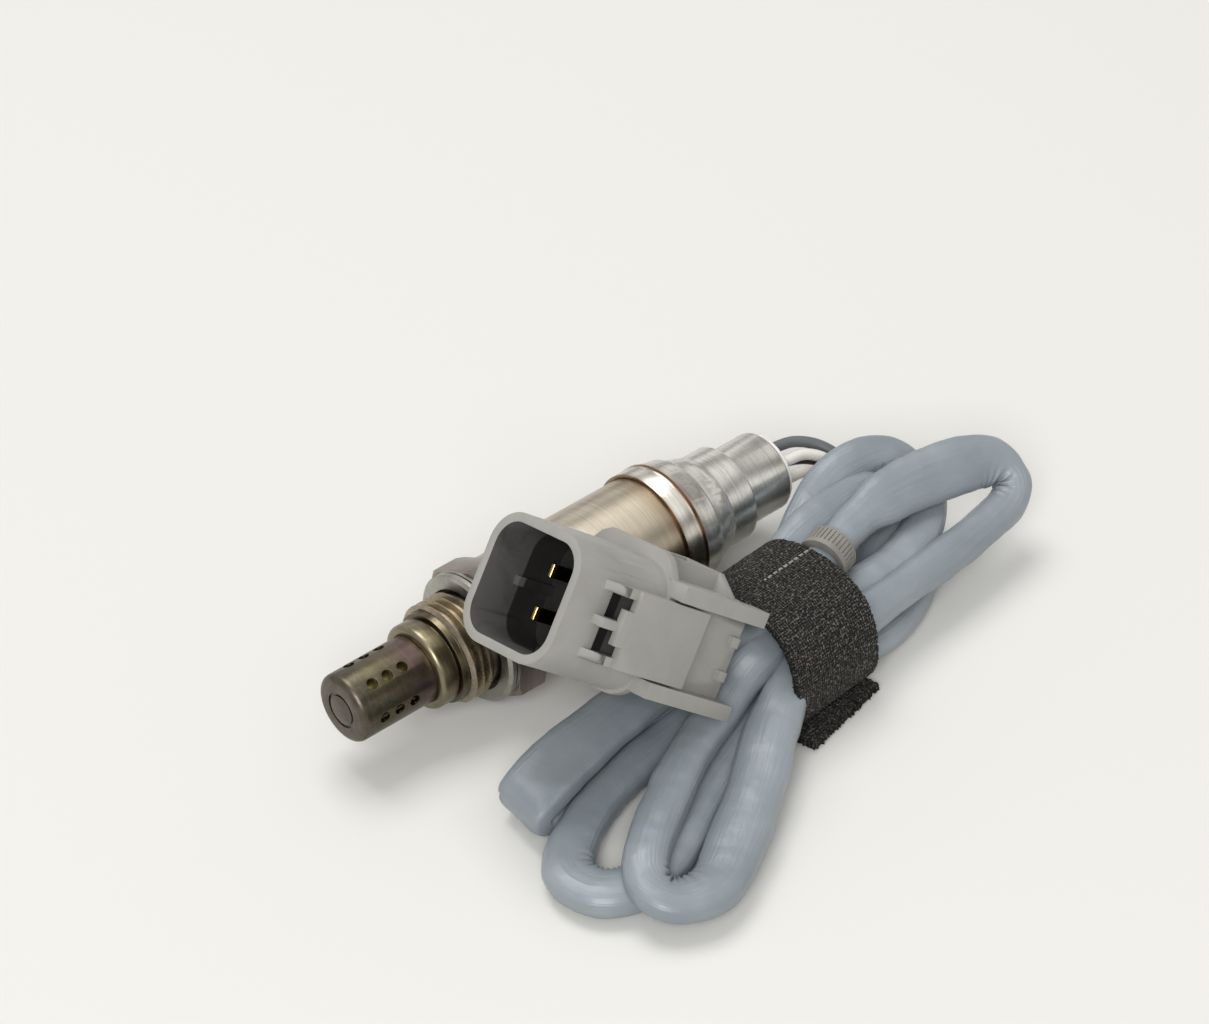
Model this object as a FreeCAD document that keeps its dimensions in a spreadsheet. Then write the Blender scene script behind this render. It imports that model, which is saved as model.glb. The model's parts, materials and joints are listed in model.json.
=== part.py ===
import FreeCAD, Part
import Sketcher
import math
import os

# Heated exhaust oxygen sensor with a four-way connector on a tied-up lead.
# Millimetres.  The sensor's axis is +X, from the perforated tip to the leads, and Z is up.
# It lies on a corner of its hexagon, with the origin on the floor under its middle.

Vector = FreeCAD.Vector
doc = FreeCAD.newDocument("OxygenSensor")
sheet = doc.addObject("Spreadsheet::Sheet", "dims")

DIMENSIONS = [
    # perforated protection tube at the tip
    ("tube_length", 15.0), ("tube_diameter", 12.0), ("tube_wall", 0.5), ("tube_edge", 1.2),
    ("hole_diameter", 1.9), ("hole_pitch", 3.05), ("first_hole", 4.2),
    ("hole_rows", 6), ("holes_in_row", 3), ("end_ring", 6.3), ("end_ring_depth", 0.25),
    ("inner_tube_diameter", 8.6), ("inner_tube_wall", 0.4), ("inner_tube_setback", 1.6),
    ("inner_hole", 1.6),
    # shell: rolled nose, pilot, thread, hexagon and neck
    ("nose_length", 3.1), ("nose_wall", 1.5), ("nose_edge", 0.9), ("groove_width", 0.7),
    ("groove_wall", 0.8), ("pilot_length", 1.1), ("pilot_diameter", 16.0),
    ("thread_length", 5.0), ("thread_diameter", 18.0), ("undercut_width", 3.0),
    ("undercut_diameter", 16.6), ("hex_length", 5.9), ("hex_width", 22.0),
    ("neck_length", 8.0), ("neck_diameter", 20.0), ("front_bore", 9.4), ("seal_bore", 15.6),
    ("seat_depth", 1.6),
    ("gasket_thickness", 2.1), ("gasket_diameter", 22.8), ("gasket_bore", 18.15),
    # outer tube and rear cover
    ("sleeve_length", 31.5), ("sleeve_diameter", 21.8), ("sleeve_wall", 0.8),
    ("weld_offset", 3.7), ("cover_diameter", 23.0), ("cover_wall", 0.6), ("shoulder_length", 9.2),
    ("mid_diameter", 17.3), ("mid_length", 5.5), ("end_diameter", 14.4), ("end_length", 9.0),
    ("end_edge", 1.4), ("grommet_proud", 1.0), ("grommet_length", 12.0),
    # inner parts
    ("fit_gap", 0.05), ("element_tip", 4.0), ("element_root", 6.2), ("element_bore", 3.0),
    ("element_reach", 12.0), ("flange_diameter", 13.0), ("flange_length", 3.0),
    ("element_rear", 9.0), ("element_tail", 13.0), ("heater_diameter", 2.6),
    ("heater_length", 52.0), ("talc_length", 3.6), ("bush_length", 3.4), ("ring_length", 1.0),
    ("carrier_gap", 1.2), ("carrier_length", 14.0), ("carrier_diameter", 18.4),
    ("carrier_bore", 3.2), ("clip_wall", 0.5), ("contact_width", 2.2), ("contact_length", 10.0),
    ("lead_diameter", 2.0), ("lead_circle", 6.6),
    # connector housing, in its own frame: X runs from the mouth to the rear
    ("plug_width", 21.4), ("plug_height", 21.4), ("plug_corner", 5.8), ("plug_wall", 1.5),
    ("shroud_length", 21.5), ("socket_depth", 15.0), ("flange_wall", 1.6), ("flange_rise", 0.6),
    ("hump_rise", 1.6), ("hump_width", 12.4), ("hump_slope", 2.0), ("body_width", 19.4),
    ("body_height", 18.4), ("body_length", 17.7), ("rail_width", 2.6), ("rail_depth", 4.2),
    ("rail_proud", 3.3), ("rail_overhang", 0.4), ("rail_reach", 9.3), ("bridge_start", 11.2),
    ("bridge_end", 27.0), ("bridge_wall", 1.5), ("bridge_gap", 1.8), ("bridge_lead", 5.2),
    ("bridge_width", 12.6), ("tongue_length", 1.8), ("tongue_width", 5.8), ("lug_size", 1.7),
    ("lug_rise", 1.0), ("lug_spacing", 5.8), ("lock_length", 15.0), ("lock_width", 9.0),
    ("lock_height", 3.0), ("lock_wall", 1.2), ("key_width", 1.5), ("key_rise", 1.1),
    ("pin_spacing", 7.2), ("pin_height", 2.2), ("pin_thickness", 0.7), ("pin_reach", 7.0),
    ("terminal_width", 2.4), ("terminal_length", 12.0), ("seal_length", 4.0), ("seal_width", 12.6),
    ("seal_cover_length", 2.4),
    # hank of lead and its tie
    ("lead_sleeve", 6.4), ("bundle_width", 24.0), ("bundle_height", 16.0),
    ("bundle_length", 18.0), ("bundle_corner", 6.5), ("tie_wall", 1.5), ("tie_width", 18.6),
    ("tail_length", 5.0), ("collar_diameter", 10.4), ("collar_length", 3.4), ("collar_ribs", 20),
    ("rib_depth", 0.5),
]


class Size:
    """A size with its number and the expression that binds it to the sheet."""

    def __init__(self, number, text):
        self.number = number
        self.text = text

    def combine(self, other, sign, swap=False):
        other = other if isinstance(other, Size) else Size(other, repr(float(other)))
        first, second = (other, self) if swap else (self, other)
        number = {"+": first.number + second.number,
                  "-": first.number - second.number,
                  "*": first.number * second.number,
                  "/": first.number / (second.number or 1.0)}[sign]
        return Size(number, "(" + first.text + " " + sign + " " + second.text + ")")

    def __add__(self, other):
        return self.combine(other, "+")

    def __sub__(self, other):
        return self.combine(other, "-")

    def __rsub__(self, other):
        return self.combine(other, "-", swap=True)

    def __mul__(self, other):
        return self.combine(other, "*")

    def __truediv__(self, other):
        return self.combine(other, "/")

    def __neg__(self):
        return self.combine(0, "-", swap=True)

    __radd__ = __add__
    __rmul__ = __mul__


sizes = {}
for row, (alias, value) in enumerate(DIMENSIONS, start=1):
    sheet.set("A%d" % row, alias)
    sheet.set("B%d" % row, str(value))
    sheet.setAlias("B%d" % row, alias)
    sizes[alias] = Size(float(value), "dims." + alias)
doc.recompute()


def size(alias):
    """A driving dimension by its alias in the sheet."""
    return sizes[alias]


def number(value):
    """The plain number of a size, or of a number."""
    return value.number if isinstance(value, Size) else float(value)


def count(alias):
    """A driving dimension that counts things."""
    return int(round(size(alias).number))


def bind(thing, path, value):
    """Give a property or a constraint its size, bound to the sheet."""
    if isinstance(value, Size):
        thing.setExpression(path, value.text)
    elif not path.startswith("Constraints"):
        setattr(thing, path, value)


# Stations along the sensor's axis
total_length = (size("tube_length") + size("nose_length") + size("groove_width")
                + size("pilot_length") + size("thread_length") + size("undercut_width")
                + size("hex_length") + size("sleeve_length") + size("weld_offset")
                + size("shoulder_length") + size("mid_length") + size("end_length")
                + size("grommet_proud"))
x_tip = -(total_length / 2)
x_nose = x_tip + size("tube_length")
x_groove = x_nose + size("nose_length")
x_pilot = x_groove + size("groove_width")
x_thread = x_pilot + size("pilot_length")
x_undercut = x_thread + size("thread_length")
x_hex = x_undercut + size("undercut_width")
x_sleeve = x_hex + size("hex_length")
x_cover = x_sleeve + size("sleeve_length")
x_weld = x_cover + size("weld_offset")
x_mid = x_weld + size("shoulder_length")
x_end = x_mid + size("mid_length")
x_cover_end = x_end + size("end_length")
x_grommet_end = x_cover_end + size("grommet_proud")
hex_corner = size("hex_width") / math.sqrt(3.0)
AXIS_HEIGHT = number(hex_corner)
ON_AXIS = FreeCAD.Placement(Vector(0, 0, AXIS_HEIGHT), FreeCAD.Rotation())

parts = []


def new_body(label, placement=None):
    """An empty body that will be written out under its label."""
    body = doc.addObject("PartDesign::Body", label)
    body.Label = label
    body.Placement = placement or FreeCAD.Placement()
    parts.append(body)
    return body


def new_sketch(body, plane, offset=None, name="profile"):
    """A sketch on one of the body's origin planes, moved along its normal."""
    sketch = body.newObject("Sketcher::SketchObject", body.Label + "_" + name)
    for feature in body.Origin.OriginFeatures:
        if feature.Role == plane:
            sketch.AttachmentSupport = (feature, "")
    sketch.MapMode = "FlatFace"
    if offset is not None:
        sketch.AttachmentOffset = FreeCAD.Placement(Vector(0, 0, number(offset)), FreeCAD.Rotation())
        bind(sketch, "AttachmentOffset.Base.z", offset if isinstance(offset, Size) else Size(
            float(offset), repr(float(offset))))
    return sketch


def pin_point(sketch, geo, position, x, y):
    """Hold one sketch point at a pair of sizes."""
    for kind, axis, value in (("DistanceX", -2, x), ("DistanceY", -1, y)):
        if number(value) == 0 and not isinstance(value, Size):
            sketch.addConstraint(Sketcher.Constraint("PointOnObject", geo, position, axis))
            continue
        index = sketch.addConstraint(
            Sketcher.Constraint(kind, -1, 1, geo, position, number(value)))
        if isinstance(value, Size):
            sketch.setExpression("Constraints[%d]" % index, value.text)


def outline(sketch, points):
    """A closed outline of straight lines through points given as sizes."""
    count_of = len(points)
    for index, (x, y) in enumerate(points):
        x_next, y_next = points[(index + 1) % count_of]
        sketch.addGeometry(Part.LineSegment(Vector(number(x), number(y), 0),
                                            Vector(number(x_next), number(y_next), 0)), False)
    for index in range(count_of):
        sketch.addConstraint(
            Sketcher.Constraint("Coincident", index, 2, (index + 1) % count_of, 1))
    for index, (x, y) in enumerate(points):
        pin_point(sketch, index, 1, x, y)


def rounded_rectangle(sketch, x_low, y_low, width, height, radius):
    """A rectangle with round corners, by its low corner, its sides and its radius."""
    first = sketch.GeometryCount
    left, low = number(x_low), number(y_low)
    right, high, bend = left + number(width), low + number(height), number(radius)
    quarter = math.pi / 2
    ends = [((left + bend, low), (right - bend, low)), ((right, low + bend), (right, high - bend)),
            ((right - bend, high), (left + bend, high)), ((left, high - bend), (left, low + bend))]
    centres = [(right - bend, low + bend), (right - bend, high - bend),
               (left + bend, high - bend), (left + bend, low + bend)]
    for start, end in ends:
        sketch.addGeometry(Part.LineSegment(Vector(*start, 0), Vector(*end, 0)), False)
    for turn, (x, y) in enumerate(centres):
        circle = Part.Circle(Vector(x, y, 0), Vector(0, 0, 1), bend)
        sketch.addGeometry(
            Part.ArcOfCircle(circle, (turn - 1) * quarter, turn * quarter), False)
    add = sketch.addConstraint
    for side in range(4):
        arc = first + 4 + side
        add(Sketcher.Constraint("Tangent", first + side, 2, arc, 1))
        add(Sketcher.Constraint("Tangent", arc, 2, first + (side + 1) % 4, 1))
        add(Sketcher.Constraint("Horizontal" if side % 2 == 0 else "Vertical", first + side))
        if side:
            add(Sketcher.Constraint("Equal", first + 4, arc))
    held = [(Sketcher.Constraint("Radius", first + 4, bend), radius),
            (Sketcher.Constraint("DistanceX", first + 3, 1, first + 1, 1, right - left), width),
            (Sketcher.Constraint("DistanceY", first, 1, first + 2, 1, high - low), height)]
    for constraint, value in held:
        index = add(constraint)
        if isinstance(value, Size):
            sketch.setExpression("Constraints[%d]" % index, value.text)
    for kind, geo, value in (("DistanceX", first + 3, x_low), ("DistanceY", first, y_low)):
        index = add(Sketcher.Constraint(kind, -1, 1, geo, 1, number(value)))
        if isinstance(value, Size):
            sketch.setExpression("Constraints[%d]" % index, value.text)


def turned(label, points, placement=ON_AXIS):
    """A turned piece: an outline of (station, radius) spun round the axis."""
    body = new_body(label, placement)
    sketch = new_sketch(body, "XY_Plane")
    outline(sketch, points)
    spin = body.newObject("PartDesign::Revolution", label + "_turned")
    spin.Profile = sketch
    spin.ReferenceAxis = (sketch, ["H_Axis"])
    spin.Angle = 360
    doc.recompute()
    return body


def pad(body, sketch, length, name):
    """Raise a sketch by a length along its plane's normal."""
    feature = body.newObject("PartDesign::Pad", body.Label + "_" + name)
    feature.Profile = sketch
    bind(feature, "Length", length)
    doc.recompute()
    return feature


def pocket(body, sketch, length, name, reverse=True, through=False):
    """Cut a sketch into the body and make sure that something was removed."""
    before = body.Shape.Volume
    feature = body.newObject("PartDesign::Pocket", body.Label + "_" + name)
    feature.Profile = sketch
    feature.Reversed = reverse
    if through:
        feature.Type = "ThroughAll"
    else:
        bind(feature, "Length", length)
    doc.recompute()
    if not body.Shape.Volume < before - 1e-6:
        raise RuntimeError(label_of(body) + ": " + name + " removed nothing")
    return feature


def label_of(thing):
    """The name that messages use for a piece."""
    return thing.Label


def round_edges(body, radius, wanted, name):
    """Round the edges of the body's last feature that a test picks."""
    base = body.Tip
    names = ["Edge%d" % index for index, edge in enumerate(base.Shape.Edges, start=1)
             if wanted(edge)]
    if not names:
        raise RuntimeError(label_of(body) + ": no edge for " + name)
    fillet = body.newObject("PartDesign::Fillet", body.Label + "_" + name)
    fillet.Base = (base, names)
    bind(fillet, "Radius", radius)
    doc.recompute()
    return fillet


def circle_at(station, radius):
    """Picks the round edge at a station of the axis with a radius."""
    def wanted(edge):
        curve = edge.Curve
        return (isinstance(curve, Part.Circle) and abs(curve.Radius - number(radius)) < 1e-3
                and abs(edge.BoundBox.XMin - number(station)) < 1e-3
                and abs(edge.BoundBox.XLength) < 1e-3)
    return wanted


def patterned(body, kind, original, axis, copies, **settings):
    """Repeat a feature round an axis or along it and make the pattern the body's tip."""
    pattern = body.newObject("PartDesign::" + kind, original.Label + "_" + kind)
    pattern.Originals = [original]
    if kind == "PolarPattern":
        pattern.Axis = axis
        pattern.Angle = 360
    else:
        pattern.Direction = axis
    for path, value in settings.items():
        bind(pattern, path, value)
    pattern.Occurrences = copies
    body.Tip = pattern
    doc.recompute()
    return pattern


def half(alias):
    """Half of a driving dimension."""
    return size(alias) / 2


gap = size("fit_gap")


def protection_tube_outer():
    """Perforated cup over the tip, with a stamped ring on its end."""
    radius = half("tube_diameter")
    bore = radius - size("tube_wall")
    rear = x_groove - size("groove_width")
    body = turned("protection_tube_outer", [
        (x_tip, 0), (x_tip, radius), (rear, radius), (rear, bore),
        (x_tip + size("tube_wall"), bore), (x_tip + size("tube_wall"), 0)])
    round_edges(body, size("tube_edge"), circle_at(x_tip, radius), "rolled_end")
    ring = new_sketch(body, "YZ_Plane", x_tip, "ring")
    for geo, radius_of_ring in ((0, half("end_ring")), (1, half("end_ring") - size("tube_wall"))):
        ring.addGeometry(Part.Circle(Vector(0, 0, 0), Vector(0, 0, 1), number(radius_of_ring)))
        ring.addConstraint(Sketcher.Constraint("Coincident", geo, 3, -1, 1))
        index = ring.addConstraint(Sketcher.Constraint("Radius", geo, number(radius_of_ring)))
        ring.setExpression("Constraints[%d]" % index, radius_of_ring.text)
    pocket(body, ring, size("end_ring_depth"), "stamped_ring")
    drill = new_sketch(body, "XZ_Plane", None, "hole")
    drill.addGeometry(Part.Circle(Vector(0, 0, 0), Vector(0, 0, 1), number(half("hole_diameter"))))
    index = drill.addConstraint(Sketcher.Constraint("Radius", 0, number(half("hole_diameter"))))
    drill.setExpression("Constraints[%d]" % index, half("hole_diameter").text)
    pin_point(drill, 0, 3, x_tip + size("first_hole"), 0)
    hole = pocket(body, drill, size("tube_diameter"), "hole_cut")
    holes = body.newObject("PartDesign::MultiTransform", "protection_tube_outer_holes")
    holes.Originals = [hole]
    along = body.newObject("PartDesign::LinearPattern", "protection_tube_outer_along")
    along.Direction = (drill, ["H_Axis"])
    bind(along, "Length", size("hole_pitch") * (size("holes_in_row") - 1))
    along.Occurrences = count("holes_in_row")
    around = body.newObject("PartDesign::PolarPattern", "protection_tube_outer_around")
    around.Axis = (drill, ["H_Axis"])
    around.Angle = 360
    around.Occurrences = count("hole_rows")
    holes.Transformations = [along, around]
    body.Tip = holes
    doc.recompute()


def protection_tube_inner():
    """Second cup inside the perforated one, with a flange at its rear and one row of holes."""
    radius = half("inner_tube_diameter")
    bore = radius - size("inner_tube_wall")
    front = x_tip + size("inner_tube_setback")
    rear = x_groove - size("groove_width")
    flange = half("tube_diameter") - size("tube_wall") - gap
    body = turned("protection_tube_inner", [
        (front, 0), (front, radius), (rear - size("inner_tube_wall"), radius),
        (rear - size("inner_tube_wall"), flange), (rear, flange), (rear, bore),
        (front + size("inner_tube_wall"), bore), (front + size("inner_tube_wall"), 0)])
    drill = new_sketch(body, "XY_Plane", None, "hole")
    drill.addGeometry(Part.Circle(Vector(0, 0, 0), Vector(0, 0, 1), number(half("inner_hole"))))
    index = drill.addConstraint(Sketcher.Constraint("Radius", 0, number(half("inner_hole"))))
    drill.setExpression("Constraints[%d]" % index, half("inner_hole").text)
    pin_point(drill, 0, 3, x_tip + size("first_hole") + size("hole_pitch") * 2.5, 0)
    hole = pocket(body, drill, size("tube_diameter"), "hole_cut")
    patterned(body, "PolarPattern", hole, (drill, ["H_Axis"]), count("hole_rows"))


def sensor_shell():
    """Turned steel body: rolled nose, groove, pilot, thread, undercut, hexagon and neck."""
    nose = half("tube_diameter") + size("nose_wall")
    groove = half("tube_diameter") + size("groove_wall")
    pilot = half("pilot_diameter")
    thread = half("thread_diameter")
    undercut = half("undercut_diameter")
    neck = half("neck_diameter")
    tube_bore = half("tube_diameter") + gap
    front = half("front_bore")
    seal = half("seal_bore")
    seat = x_groove - size("groove_width")
    x_seal = x_hex + size("seat_depth")
    x_neck = x_sleeve + size("neck_length")
    body = turned("sensor_shell", [
        (x_nose, tube_bore), (x_nose, nose), (x_groove, nose), (x_groove, groove),
        (x_pilot, groove), (x_pilot, pilot), (x_thread, pilot), (x_thread, thread),
        (x_undercut, thread), (x_undercut, undercut), (x_hex, undercut), (x_hex, neck),
        (x_neck, neck), (x_neck, seal), (x_seal, seal), (x_seal, front), (seat, front),
        (seat, tube_bore)])
    round_edges(body, size("nose_edge"), circle_at(x_nose, nose), "rolled_nose")
    hexagon = new_sketch(body, "YZ_Plane", x_hex, "hexagon")
    corners = [(hex_corner * math.cos(math.radians(60 * k + 30)),
                hex_corner * math.sin(math.radians(60 * k + 30))) for k in range(6)]
    outline(hexagon, corners)
    hexagon.addGeometry(Part.Circle(Vector(0, 0, 0), Vector(0, 0, 1), number(seal) + 0.2))
    hexagon.addConstraint(Sketcher.Constraint("Coincident", 6, 3, -1, 1))
    index = hexagon.addConstraint(Sketcher.Constraint("Radius", 6, number(seal) + 0.2))
    hexagon.setExpression("Constraints[%d]" % index, (seal + 0.2).text)
    pad(body, hexagon, size("hex_length"), "hexagon")
    # the turned bevel that cuts the corners of the hexagon on both faces
    bevel = new_sketch(body, "XY_Plane", None, "bevel")
    drop = hex_corner - half("hex_width")
    outline(bevel, [
        (x_hex - drop, hex_corner), (x_hex, hex_corner - drop / 2), (x_hex + drop / 3, hex_corner),
        (x_hex + drop / 3, hex_corner + drop), (x_hex - drop, hex_corner + drop)])
    front_cut = body.newObject("PartDesign::Groove", "sensor_shell_front_bevel")
    front_cut.Profile = bevel
    front_cut.ReferenceAxis = (bevel, ["H_Axis"])
    front_cut.Angle = 360
    doc.recompute()
    rear_bevel = new_sketch(body, "XY_Plane", None, "rear_bevel")
    outline(rear_bevel, [
        (x_sleeve + drop, hex_corner), (x_sleeve, hex_corner - drop / 2),
        (x_sleeve - drop / 3, hex_corner), (x_sleeve - drop / 3, hex_corner + drop),
        (x_sleeve + drop, hex_corner + drop)])
    rear_cut = body.newObject("PartDesign::Groove", "sensor_shell_rear_bevel")
    rear_cut.Profile = rear_bevel
    rear_cut.ReferenceAxis = (rear_bevel, ["H_Axis"])
    rear_cut.Angle = 360
    doc.recompute()


def sealing_gasket():
    """Folded steel ring held captive in the undercut, against the hexagon."""
    outer = half("gasket_diameter")
    bore = half("gasket_bore")
    front = x_hex - size("gasket_thickness")
    fold = size("gasket_thickness") / 4
    turned("sealing_gasket", [
        (front, bore), (front, outer - fold), (front + fold, outer),
        (x_hex - fold * 1.6, outer), (x_hex - fold * 1.3, outer - fold), (x_hex - fold, outer),
        (x_hex, outer), (x_hex, bore)])


def sensing_element():
    """Ceramic thimble: closed tip, tapered stem, flange on the shell's seat, open tail."""
    tip = x_tip + size("inner_tube_setback") + size("inner_tube_wall") + 1.0
    seat = x_hex + size("seat_depth")
    tail = seat + size("flange_length") + size("element_tail")
    bore = half("element_bore")
    body = turned("sensing_element", [
        (tip, 0), (tip, half("element_tip")), (seat, half("element_root")),
        (seat, half("flange_diameter")), (seat + size("flange_length"), half("flange_diameter")),
        (seat + size("flange_length"), half("element_rear")), (tail, half("element_rear")),
        (tail, bore), (tip + 1.2, bore), (tip + 1.2, 0)])
    round_edges(body, half("element_tip") * 0.9, circle_at(tip, half("element_tip")), "round_tip")


def ring(label, start, length, bore, outer):
    """A plain turned ring between two stations."""
    turned(label, [(start, bore), (start, outer), (start + length, outer), (start + length, bore)])


def shell_packing():
    """Talc, ceramic bush and press ring stacked behind the element's flange."""
    bore = half("element_rear") + gap
    outer = half("seal_bore") - gap
    start = x_hex + size("seat_depth") + size("flange_length")
    ring("talc_ring", start, size("talc_length"), bore, outer)
    ring("ceramic_bush", start + size("talc_length"), size("bush_length"), bore, outer)
    ring("press_ring", start + size("talc_length") + size("bush_length"), size("ring_length"),
         bore, outer)


def heater_rod():
    """Ceramic heater in the thimble's bore, held by the carrier at its rear."""
    tip = x_tip + size("inner_tube_setback") + size("inner_tube_wall") + 1.0
    front = tip + 1.2 + gap
    radius = half("heater_diameter")
    turned("heater_rod", [(front, 0), (front, radius), (front + size("heater_length"), radius),
                          (front + size("heater_length"), 0)])


element_end = x_hex + size("seat_depth") + size("flange_length") + size("element_tail")
carrier_start = element_end + size("carrier_gap")
carrier_end = carrier_start + size("carrier_length")


def contact_parts():
    """Contact sleeves on the thimble, the ceramic carrier and its spring clip."""
    rear = half("element_rear")
    grip = element_end - size("carrier_gap") * 3
    ring("outer_contact_sleeve", grip, element_end - grip, rear + gap,
         rear + gap + size("clip_wall"))
    bore = half("element_bore")
    ring("inner_contact_sleeve", grip, carrier_start - grip, half("heater_diameter") + gap / 2,
         bore - gap / 2)
    body = turned("contact_carrier", [
        (carrier_start, half("carrier_bore")), (carrier_start, half("carrier_diameter")),
        (carrier_end, half("carrier_diameter")), (carrier_end, half("carrier_bore"))])
    hole = new_sketch(body, "YZ_Plane", carrier_end, "lead_hole")
    place = half("lead_circle") * math.cos(math.pi / 4)
    width = size("contact_width") + gap * 2
    outline(hole, [(place - width / 2, place - width / 2), (place + width / 2, place - width / 2),
                   (place + width / 2, place + width / 2), (place - width / 2, place + width / 2)])
    cut = pocket(body, hole, None, "lead_hole_cut", reverse=False, through=True)
    cut.Midplane = True
    patterned(body, "PolarPattern", cut, (hole, ["N_Axis"]), 4)
    ring("carrier_spring_clip", carrier_start + size("clip_wall"),
         size("carrier_length") - size("clip_wall") * 2, half("carrier_diameter") + gap,
         half("sleeve_diameter") - size("sleeve_wall") - gap)


LEADS = [("lead_grey", 135), ("lead_white_rear", 45), ("lead_black", -45), ("lead_white_front", -135)]


def lead_place(angle):
    """Where a lead or its contact sits round the axis, as sizes."""
    turn = math.radians(angle)
    return half("lead_circle") * math.cos(turn), half("lead_circle") * math.sin(turn)


def contact_clips():
    """Four stamped contacts in the carrier, one for each lead."""
    for index, (name, angle) in enumerate(LEADS, start=1):
        body = new_body("contact_clip_%d" % index, ON_AXIS)
        y, z = lead_place(angle)
        side = size("contact_width")
        blade = new_sketch(body, "YZ_Plane", carrier_start + gap, "blade")
        outline(blade, [(y - side / 2, z - side / 2), (y + side / 2, z - side / 2),
                        (y + side / 2, z + side / 2), (y - side / 2, z + side / 2)])
        pad(body, blade, size("contact_length"), "blade")


def outer_sleeve_tube():
    """Plain tube welded over the shell's neck."""
    outer = half("sleeve_diameter")
    turned("outer_sleeve_tube", [
        (x_sleeve, half("neck_diameter") + gap), (x_sleeve, outer), (x_weld - 1.0, outer),
        (x_weld - 1.0, outer - size("sleeve_wall")),
        (x_sleeve + size("neck_length"), outer - size("sleeve_wall")),
        (x_sleeve + size("neck_length"), half("neck_diameter") + gap)])


def rear_cover():
    """Stepped cap: ring over the outer tube, weld bead, tapered shoulder, mid and end sections."""
    wall = size("cover_wall")
    ring_outer = half("cover_diameter")
    mid = half("mid_diameter")
    end = half("end_diameter")
    fit = half("sleeve_diameter") + gap
    bead = size("cover_wall") / 4
    crest = x_weld + size("shoulder_length") * 0.45
    crest_radius = ring_outer - size("cover_wall") * 1.2
    body = turned("rear_cover", [
        (x_cover, fit), (x_cover, ring_outer), (x_weld - wall, ring_outer),
        (x_weld - wall / 2, ring_outer + bead), (x_weld + wall / 2, ring_outer + bead),
        (x_weld + wall, ring_outer - bead), (crest, crest_radius), (crest + wall, crest_radius - wall),
        (x_mid - wall * 2, mid + wall), (x_mid, mid), (x_end - wall, mid), (x_end, mid - wall),
        (x_end + wall / 2, end), (x_cover_end, end), (x_cover_end, end - wall),
        (x_end - wall, end - wall), (x_end - wall, mid - wall), (x_mid - wall, mid - wall),
        (crest - wall, crest_radius - wall * 2), (x_weld, fit)])
    round_edges(body, size("end_edge") * 0.35, circle_at(x_cover_end, end), "rolled_end")


def grommet():
    """Soft white plug in the end of the cover, with a bore for each lead."""
    outer = half("end_diameter") - size("cover_wall") - gap
    front = x_grommet_end - size("grommet_length")
    body = turned("grommet", [(front, 0), (front, outer), (x_grommet_end - 0.3, outer),
                              (x_grommet_end, outer - 0.3), (x_grommet_end, 0)])
    hole = new_sketch(body, "YZ_Plane", x_grommet_end, "bore")
    y, z = lead_place(45)
    radius = half("lead_diameter") + gap
    hole.addGeometry(Part.Circle(Vector(number(y), number(z), 0), Vector(0, 0, 1), number(radius)))
    index = hole.addConstraint(Sketcher.Constraint("Radius", 0, number(radius)))
    hole.setExpression("Constraints[%d]" % index, radius.text)
    pin_point(hole, 0, 3, y, z)
    cut = pocket(body, hole, None, "bore_cut", reverse=False, through=True)
    patterned(body, "PolarPattern", cut, (hole, ["N_Axis"]), 4)


protection_tube_outer()
protection_tube_inner()
sensor_shell()
sealing_gasket()
sensing_element()
shell_packing()
heater_rod()
contact_parts()
contact_clips()
outer_sleeve_tube()
rear_cover()
grommet()


# The connector lies askew over the shell: its mouth looks up and forwards, its rear sinks to the hank.
PLUG_MOUTH = Vector(-26.7, -21.1, 40.1)
PLUG_REARWARD = Vector(0.771, -0.145, -0.620)
PLUG_UP = Vector(0.636, 0.158, 0.755)
ON_PLUG = FreeCAD.Placement(
    PLUG_MOUTH, FreeCAD.Rotation(PLUG_REARWARD, Vector(), PLUG_UP, "XZY"))

half_width = half("plug_width")
half_height = half("plug_height")
body_end = size("shroud_length") + size("body_length")
rail_end = body_end + size("rail_overhang")
face = half_width


def block(body, name, x_low, x_high, y_low, y_high, z_low, z_high, cut=False):
    """Add or cut a square block of the connector, by its limits along X, Y and Z."""
    sketch = new_sketch(body, "YZ_Plane", x_low, name)
    outline(sketch, [(y_low, z_low), (y_high, z_low), (y_high, z_high), (y_low, z_high)])
    if cut:
        return pocket(body, sketch, x_high - x_low, name + "_cut")
    return pad(body, sketch, x_high - x_low, name + "_block")


def rounded_block(body, name, x_low, length, width, height, radius, cut=False):
    """Add or cut a block with round corners, centred on the connector's axis."""
    sketch = new_sketch(body, "YZ_Plane", x_low, name)
    rounded_rectangle(sketch, -(width / 2), -(height / 2), width, height, radius)
    if cut:
        return pocket(body, sketch, length, name + "_cut")
    return pad(body, sketch, length, name + "_block")


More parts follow.
